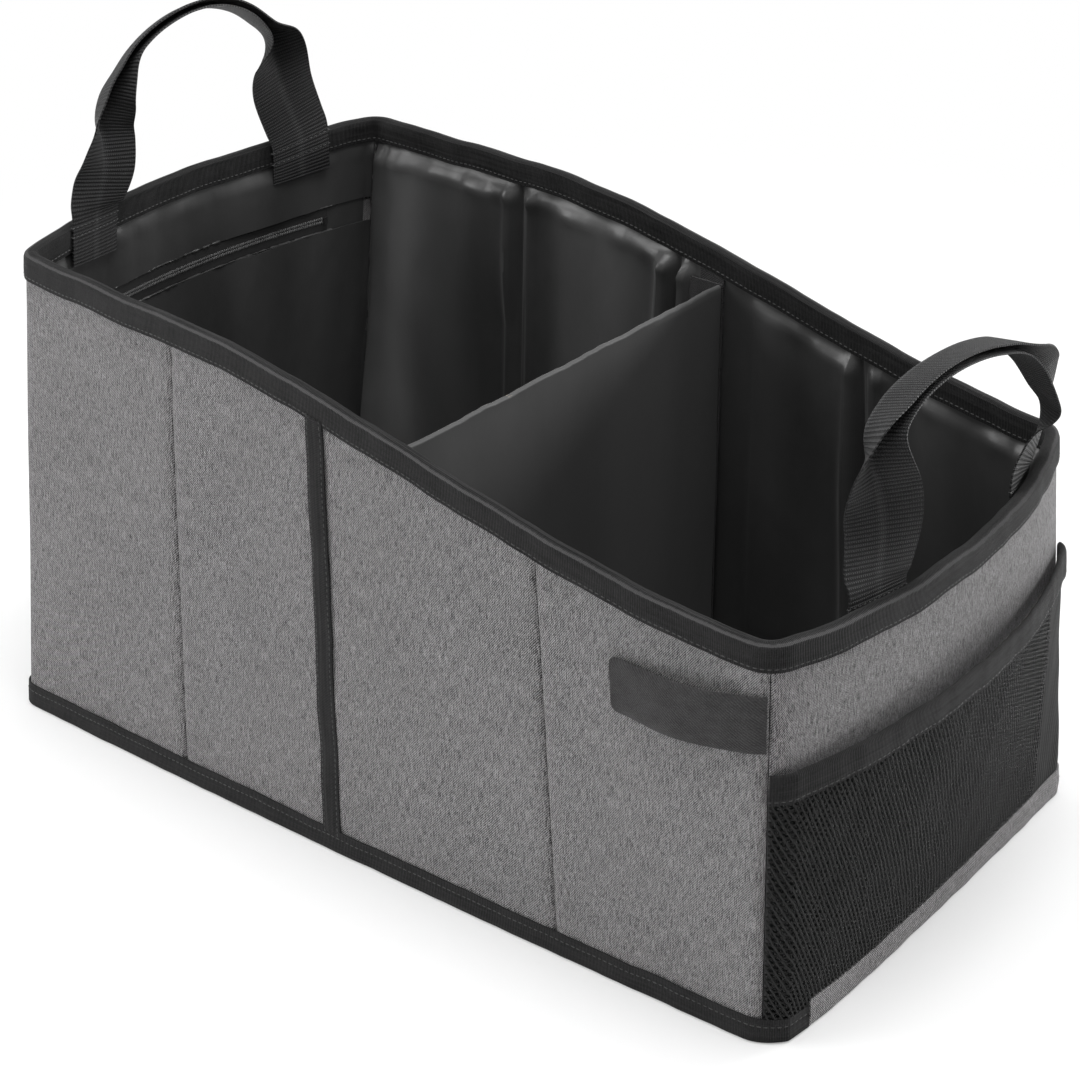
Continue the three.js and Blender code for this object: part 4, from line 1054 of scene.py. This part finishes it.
# %% [markdown]
# ## Divider
# The divider is a thin board in a cloth sleeve, with a fuzzy flap folded on each end that sticks to
# a strip on the wall. It lifts out, so its pieces ride on their own body.
# %% Sleeve and flaps
DIVIDER_TOP, DIVIDER_LOW = 224.0, 4.5
sleeve_near, sleeve_far = [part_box("divider_sleeve")[i][1] * 1000 for i in (0, 1)]
path_x, path_z = [], []
for s in np.linspace(0, 1, 129):
    if s < 0.46:
        path_x.append(-1.55), path_z.append(mix(DIVIDER_LOW, DIVIDER_TOP - 1.6, s / 0.46))
    elif s > 0.54:
        path_x.append(1.55), path_z.append(mix(DIVIDER_TOP - 1.6, DIVIDER_LOW, (s - 0.54) / 0.46))
    else:
        a = math.pi * (s - 0.46) / 0.08
        path_x.append(-1.55 * math.cos(a)), path_z.append(DIVIDER_TOP - 1.6 + 1.6 * math.sin(a))
path_x, path_z = np.array(path_x)[:, None], np.array(path_z)[:, None]
y = np.linspace(sleeve_near, sleeve_far, 70)[None, :]
swell = 0.25 * waves(y, path_z, 71, 120, 160).clip(-0.5, 3) * np.sign(path_x) * (np.abs(path_x) > 1.5)
frill = 0.25 * waves(y, 0, 72, 22, 1) * smooth((path_z - 216) / 8)
outer = np.stack([DIVIDER_X + path_x + swell, y + 0 * path_x, path_z + frill], -1)
inset_z = path_z - 0.4 * smooth((path_z - 200) / 24) + frill
inset = np.stack([DIVIDER_X + path_x * 0.7 + swell * 0.6, y + 0 * path_x, inset_z], -1)
step_x = np.diff(path_x[:, 0], prepend=-1.55)
run = np.cumsum(np.hypot(step_x, np.diff(path_z[:, 0], prepend=DIVIDER_LOW)))
uv = np.stack([y + 0 * path_x, run[:, None] + 0 * y], -1)
sleeve = cloth_sheet("divider_sleeve_cloth", outer[:, ::-1], inset[:, ::-1], uv[:, ::-1], DIVIDER_CLOTH)
finish_piece(sleeve, "divider", ["divider_sleeve"])


def flap(name, node, seed):
    """A fuzzy flap that stands against the wall at one end of the divider."""
    low, high = [np.array(c) * 1000 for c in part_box(node)]
    x = np.linspace(low[0], high[0], 12)[None, :]
    z = np.linspace(low[2], high[2], 70)[:, None]
    y0 = (low[1] + high[1]) / 2 + 0.12 * waves(x, z, seed, 12, 50)
    wavy = 0.5 * waves(z, 0, seed + 1, 25, 1) * (x < low[0] + 3)
    face = np.stack([x + wavy, y0 - 0.5 + 0 * z, z + 0 * x], -1)
    back = np.stack([x + wavy, y0 + 0.5 + 0 * z, z + 0 * x], -1)
    uv = np.stack([x + 0 * z, z + 0 * x], -1)
    piece = cloth_sheet(name, face, back, uv, FLAP_TAPE)
    finish_piece(piece, "divider", [node])


flap("divider_near_flap_tape", "divider_near_flap", 73)
flap("divider_far_flap_tape", "divider_far_flap", 75)


# %% Strips on the walls that hold the flaps
def loop_strip(name, node, q_a, q_b, seed):
    q = np.linspace(min(q_a, q_b), max(q_a, q_b), 10)[None, :]
    share = np.linspace(0, 1, 60)[:, None]
    z = mix(4.6, rim_z(q) - 14, share)
    depth = LINING_DEPTH + 1.0 + 0.1 * waves(q * 400, z, seed, 30, 40)
    uv = np.stack([q * LENGTH + 0 * z, z + 0 * q], -1)
    piece = cloth_sheet(name, on_wall(q, z, depth - 0.8), on_wall(q, z, depth), uv, FLAP_TAPE)
    finish_piece(piece, "case", [node])


loop_strip("near_loop_tape", "near_loop_strip", near_q(4), near_q(22), 77)
loop_strip("far_loop_tape", "far_loop_strip", far_q(22), far_q(4), 78)

# %% [markdown]
# ## Closing strap
# The strap is sewn into the front corner and its free end rests on a small hook patch. In between
# it stands off the wall. Its edges are thin and its face is brushed.
# %% Strap
STRAP_FREE, STRAP_LOW, STRAP_WIDTH = 165.0, 147.0, 27.5
strap_start, strap_end = near_q(STRAP_FREE), FRONT - 0.0025
q = np.linspace(strap_start, strap_end, 60)[None, :]
s = (q - strap_start) / (strap_end - strap_start)
v = np.linspace(0, STRAP_WIDTH, 16)[:, None]
round_end = 2.2 * (1 - np.sqrt(np.clip(1 - ((v - STRAP_WIDTH / 2) / (STRAP_WIDTH / 2)) ** 6, 0, 1)))
q_bent = q + (1 - s) ** 6 * round_end / LENGTH
z = STRAP_LOW + 5 * s + v - 1.5 * np.sin(np.pi * s)
stand = 1.6 + 4.0 * np.sin(np.pi * s) ** 2 + 0.3 * waves(q * LENGTH, v, 81, 50, 60)
edge = 1 - np.abs(2 * v / STRAP_WIDTH - 1) ** 8
face, back = on_wall(q_bent, z, -stand - 0.7 - 0.8 * edge), on_wall(q_bent, z, -stand)
uv = np.stack([q * LENGTH + 0 * v, v + 0 * q], -1)
strap = cloth_sheet("closing_strap_tape", face, back, uv, LOOP_TAPE)
finish_piece(strap, "case", ["closing_strap"])

q = np.linspace(near_q(STRAP_FREE + 1), near_q(STRAP_FREE + 26), 12)[None, :]
s = (q - strap_start) / (strap_end - strap_start)
v = np.linspace(1.5, STRAP_WIDTH - 4, 10)[:, None]
z = STRAP_LOW + 5 * s + v - 1.5 * np.sin(np.pi * s)
uv = np.stack([q * LENGTH + 0 * v, v + 0 * q], -1)
hooks = cloth_sheet("hook_patch_tape", on_wall(q, z, -1.2), on_wall(q, z, -0.3), uv, FLAP_TAPE)
finish_piece(hooks, "case", ["closing_strap_hook_patch"])

# %% [markdown]
# ## Stitches and zip teeth
# A seam is the same small loop of thread again and again along a line, and a zip's coil shows as a
# row of small teeth. One Geometry Nodes tree makes both: it steps along a line, sets a flattened
# ball at each step, turned along the line, and varies its size a little from a fixed seed.
# %% The tree for small things in a row
def row_tree():
    tree = bpy.data.node_groups.new("row_of_stitches", "GeometryNodeTree")
    sockets = tree.interface
    sockets.new_socket("Geometry", in_out="OUTPUT", socket_type="NodeSocketGeometry")
    sockets.new_socket("Geometry", in_out="INPUT", socket_type="NodeSocketGeometry")
    kinds = {"Spacing": "Float", "Size": "Vector", "Seed": "Int", "Material": "Material"}
    for name, kind in kinds.items():
        sockets.new_socket(name, in_out="INPUT", socket_type="NodeSocket" + kind)
    add = lambda kind: tree.nodes.new(kind)
    join = lambda a, i, b, j: tree.links.new(a.outputs[i], b.inputs[j])
    start, end = add("NodeGroupInput"), add("NodeGroupOutput")
    curve, steps = add("GeometryNodeMeshToCurve"), add("GeometryNodeResampleCurve")
    steps.mode = "LENGTH"
    join(start, "Geometry", curve, "Mesh")
    join(curve, "Curve", steps, "Curve")
    join(start, "Spacing", steps, "Length")
    ball, shape = add("GeometryNodeMeshUVSphere"), add("GeometryNodeTransform")
    ball.inputs["Segments"].default_value, ball.inputs["Rings"].default_value = 6, 4
    ball.inputs["Radius"].default_value = 0.5
    join(ball, "Mesh", shape, "Geometry")
    join(start, "Size", shape, "Scale")
    heading, turned = add("GeometryNodeInputTangent"), add("FunctionNodeAlignRotationToVector")
    turned.axis = "X"
    join(heading, "Tangent", turned, "Vector")
    vary = add("FunctionNodeRandomValue")
    vary.data_type = "FLOAT"
    vary.inputs[2].default_value, vary.inputs[3].default_value = 0.85, 1.1
    join(start, "Seed", vary, "Seed")
    place_, real = add("GeometryNodeInstanceOnPoints"), add("GeometryNodeRealizeInstances")
    dress = add("GeometryNodeSetMaterial")
    join(steps, "Curve", place_, "Points")
    join(shape, "Geometry", place_, "Instance")
    join(turned, "Rotation", place_, "Rotation")
    join(vary, 1, place_, "Scale")
    join(place_, "Instances", real, "Geometry")
    join(real, "Geometry", dress, "Geometry")
    join(start, "Material", dress, "Material")
    join(dress, "Geometry", end, "Geometry")
    return tree


ROW_TREE = row_tree()


def row_along(name, lines, body, material, spacing, size, seed=1):
    """Small things along polylines in millimetres, kept as one plain mesh."""
    points, edges = [], []
    for line in lines:
        first = len(points)
        points.extend((np.asarray(line) * 0.001).tolist())
        edges.extend((first + i, first + i + 1) for i in range(len(line) - 1))
    mesh = bpy.data.meshes.new(name)
    mesh.from_pydata(points, edges, [])
    piece = bpy.data.objects.new(name, mesh)
    bpy.context.scene.collection.objects.link(piece)
    modifier = piece.modifiers.new("row", "NODES")
    modifier.node_group = ROW_TREE
    values = {"Spacing": spacing, "Size": size, "Seed": seed, "Material": material}
    for item in ROW_TREE.interface.items_tree:
        if item.in_out == "INPUT" and item.name in values:
            modifier[item.identifier] = values[item.name]
    shown = piece.evaluated_get(bpy.context.evaluated_depsgraph_get())
    made = bpy.data.meshes.new_from_object(shown)
    piece.modifiers.clear()
    piece.data = made
    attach(piece, body)
    print(name, len(made.polygons), "faces")
    return piece


def on_tape(name, low, share):
    """A line along a tape, between two points of its section."""
    points = TAPE_POINTS[name]
    return mix(points[:, low], points[:, low + 1], share)


# %% Seams
closed = lambda line: np.vstack([line, line[:1]])
rim_lines = [closed(on_tape("rim_binding_tape", 1, 0.35)), closed(on_tape("rim_binding_tape", 10, 0.6))]
foot_lines = [on_tape("bottom_binding_tape", 4, 0.65)]
seams = [*rim_lines, *foot_lines, on_tape("mesh_pocket_tape", 1, 0.3)]
for tape in ("near_centre_tape", "far_centre_tape"):
    seams += [TAPE_POINTS[tape][:, 1], TAPE_POINTS[tape][:, 7]]
for sections, away, open_, at in HANDLE_LINES.values():
    for height in (14.0, 20.0):
        for i in (int(np.searchsorted(at, height)), int(np.searchsorted(at, at[-1] - height))):
            seams += [sections[i], away[i]]
row_along("binding_stitches", seams, "case", THREAD, 0.0031, (0.0023, 0.0006, 0.0006), 3)
strip_line = [on_tape("front_bottom_strip_cloth", 4, 0.75)]
row_along("front_strip_stitches", strip_line, "case", GREY_THREAD, 0.003, (0.0022, 0.0006, 0.0006), 4)


# %% [markdown]
# ## The zip and the folded edges
# The zip joins the rear lining to the pocket below it. Each half is a woven tape with a moulded
# coil on its edge, which shows as a row of small teeth. Where a cloth's raw edge is turned under,
# beside the zip and in the four corners, it makes a thin uneven ridge.
# %% Zip tapes and teeth
def zip_tape(side):
    q = np.linspace(rear_q(100.0), rear_q(-100.0), 120)[None, :]
    v = np.linspace(0.2, 6.5, 9)[:, None]
    z = 204.0 + side * v + 0 * q
    depth = 5.0 + 0.06 * waves(q * WIDTH, v, 95, 40, 20) + 0 * v
    grids = [on_wall(q, z, depth), on_wall(q, z, depth - 0.45)]
    uv = np.stack([q * WIDTH + 0 * v, v + 0 * q], -1)
    if side > 0:
        grids = grids[::-1]
    name = "zip_upper" if side > 0 else "zip_lower"
    piece = cloth_sheet(name + "_tape_cloth", grids[0], grids[1], uv, ZIP_TAPE)
    finish_piece(piece, "case", [name + "_tape"])
    line = on_wall(np.linspace(rear_q(96.0), rear_q(-96.0), 200), 204.0 + side * 0.95, 5.55)
    row_along(name + "_teeth", [line], "case", TEETH, 0.00125, (0.0008, 0.0010, 0.0018), 6 + side)
    return piece


TEETH = thread("coil_teeth", 0.16)
zip_tapes = [zip_tape(1), zip_tape(-1)]


def bead(name, body, line, radius, seed, rough=0.35):
    """A thin uneven ridge along a line, such as a folded edge or a frayed seam."""
    line = np.asarray(line, float)
    at = np.concatenate([[0], np.cumsum(np.linalg.norm(np.diff(line, axis=0), axis=1))])
    ahead = unit(np.gradient(line, axis=0))
    side = unit(np.cross(ahead, [0.31, 0.17, 0.93] if abs(ahead[0][2]) < 0.7 else [0.9, 0.4, 0.1]))
    other = np.cross(ahead, side)
    swelling = radius * (1 + rough * waves(at, 0, seed, 6, 1).clip(-1.6, 2))[:, None]
    turns = np.linspace(0, 2 * math.pi, 8)[None, :-1]
    part = lambda axis, share: axis[:, None] * (share * swelling)[..., None]
    points = line[:, None] + part(side, np.cos(turns)) + part(other, np.sin(turns))
    uv = np.stack([at[:, None] + 0 * turns, 2 * turns + 0 * at[:, None]], -1)
    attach(lofted(name, points, uv, LINING), body)


lip_q = np.linspace(rear_q(103.0), rear_q(-103.0), 160)
bead("zip_upper_lip", "case", on_wall(lip_q, 211.2, 5.1), 0.6, 101)
bead("zip_lower_lip", "case", on_wall(lip_q, 196.9, 5.1), 0.5, 102)
for q_line, name in enumerate(("near_rear", "front_near", "front_far", "rear_far")):
    z = np.linspace(5, float(rim_z(q_line)) - 15, 150)
    lean = q_line + 0.0022 * waves(z, 0, 105, 40, 1)
    bead(name + "_lining_seam", "case", on_wall(lean, z, 5.6), 0.55, 110, 0.6)
board = ["rear_wall_board"]

# %% [markdown]
# ## CAD nodes that keep their shape
# The boards and the zip's hard parts already have the right shape, so they only get a material.
# %% Materials for the carried-over nodes
FINISHES = {
    "stiffener_board": BOARD, "lining_taffeta": LINING, "zip_tape": ZIP_TAPE, "zip_metal": METAL,
    "hook_and_loop": LOOP_TAPE, "heather_fabric": HEATHER, "binding_tape": TAPE,
    "pocket_netting": NET, "handle_webbing": WEBBING,
}
for entry in frame["record"]["subparts"]:
    node = frame["nodes"][entry["node"]]
    node.data.materials.clear()
    node.data.materials.append(FINISHES[entry["material_slot"]])

# %% [markdown]
# ## Light, floor and camera
# A large soft lamp above and a pale surround light the cloth evenly, as in a product studio. To
# the camera the surround is white, and the floor turns white away from the case. Near the case it
# keeps the soft shadow. The camera stands where the photograph was taken from, with a long lens.
# %% Studio
def area_light(name, place_, target, size, power):
    lamp = bpy.data.lights.new(name, "AREA")
    lamp.shape, lamp.size, lamp.energy = "DISK", size, power
    holder = bpy.data.objects.new(name, lamp)
    direction = Vector(target) - Vector(place_)
    holder.location, holder.rotation_euler = place_, direction.to_track_quat("-Z", "Y").to_euler()
    bpy.context.scene.collection.objects.link(holder)


area_light("overhead", (0.15, -0.1, 2.0), (0, 0, 0.1), 1.5, 43)
area_light("window", (-1.7, -1.65, 1.2), (0, 0, 0.1), 1.3, 28)
area_light("right_fill", (1.0, 2.3, 0.75), (0.2, 0, 0.12), 0.9, 46)

# A narrow lamp over the viewer's shoulder reaches down to the lining in the rear far corner
glint = bpy.data.lights.new("glint", "SPOT")
glint.energy, glint.spot_size = 17, math.radians(11)
glint.spot_blend, glint.shadow_soft_size = 1.0, 0.08
holder = bpy.data.objects.new("glint", glint)
stand = (0.75, -0.75, 1.15)
aim = Vector((-0.195, 0.115, 0.18)) - Vector(stand)
holder.location, holder.rotation_euler = stand, aim.to_track_quat("-Z", "Y").to_euler()
bpy.context.scene.collection.objects.link(holder)

world = bpy.data.worlds.new("surround")
bpy.context.scene.world = world
world.use_nodes = True
sky = world.node_tree
around, white = sky.nodes["Background"], sky.nodes.new("ShaderNodeBackground")
for background, strength in ((around, 0.34), (white, 1.0)):
    background.inputs["Color"].default_value = (1, 1, 1, 1)
    background.inputs["Strength"].default_value = strength
rays, either = sky.nodes.new("ShaderNodeLightPath"), sky.nodes.new("ShaderNodeMixShader")
sky.links.new(rays.outputs["Is Camera Ray"], either.inputs[0])
sky.links.new(around.outputs[0], either.inputs[1])
sky.links.new(white.outputs[0], either.inputs[2])
sky.links.new(either.outputs[0], sky.nodes["World Output"].inputs["Surface"])

floor_mesh = bpy.data.meshes.new("studio_floor")
floor_mesh.from_pydata([(-8, -8, 0), (8, -8, 0), (8, 8, 0), (-8, 8, 0)], [], [(0, 1, 2, 3)])
studio_floor = bpy.data.objects.new("studio_floor", floor_mesh)
bpy.context.scene.collection.objects.link(studio_floor)
PALE = (0.87, 0.87, 0.87, 1)
studio = Finish("studio_floor", Base_Color=PALE, Roughness=0.95, Specular_IOR_Level=0.0)
tree = studio.tree
glow = tree.nodes.new("ShaderNodeEmission")
paths = tree.nodes.new("ShaderNodeLightPath")
blend = tree.nodes.new("ShaderNodeMixShader")
x, y, z = studio.place()
away = (x**2.0 + y**2.0) ** 0.5
lit = Term(tree, paths.outputs["Is Camera Ray"]) * (away.step(0.32, 0.95) * 0.68 + 0.32)
glow.inputs["Strength"].default_value = 1.0
tree.links.new(lit.socket, blend.inputs[0])
tree.links.new(studio.shader.outputs[0], blend.inputs[1])
tree.links.new(glow.outputs[0], blend.inputs[2])
tree.links.new(blend.outputs[0], tree.nodes["Material Output"].inputs["Surface"])
floor_mesh.materials.append(studio.material)
studio_floor.location.z = -0.0005
studio_floor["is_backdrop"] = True

# %% Camera
azimuth, elevation = math.radians(38.51), math.radians(27.65)
level = math.cos(elevation)
back_ = Vector((math.sin(azimuth) * level, -math.cos(azimuth) * level, math.sin(elevation)))
right_ = Vector((math.cos(azimuth), math.sin(azimuth), 0))
up_ = back_.cross(right_)
camera_data = bpy.data.cameras.new("camera")
camera_data.sensor_width, camera_data.lens = 36.0, 36.0 * 2856 / 1080
camera_data.clip_start, camera_data.clip_end = 0.05, 50
camera = bpy.data.objects.new("camera", camera_data)
turn = Matrix((right_, up_, back_)).transposed().to_4x4()
camera.matrix_world = Matrix.Translation(Vector((0.8006, -0.9970, 0.7915))) @ turn
bpy.context.scene.collection.objects.link(camera)
bpy.context.scene.camera = camera
bpy.context.scene.view_settings.view_transform = "Standard"

# %% Print the two boxes
low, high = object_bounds()
for label, box in (("CAD box", (*cad_low, *cad_high)), ("visual box", (*low, *high))):
    print(label, [round(c, 4) for c in box])
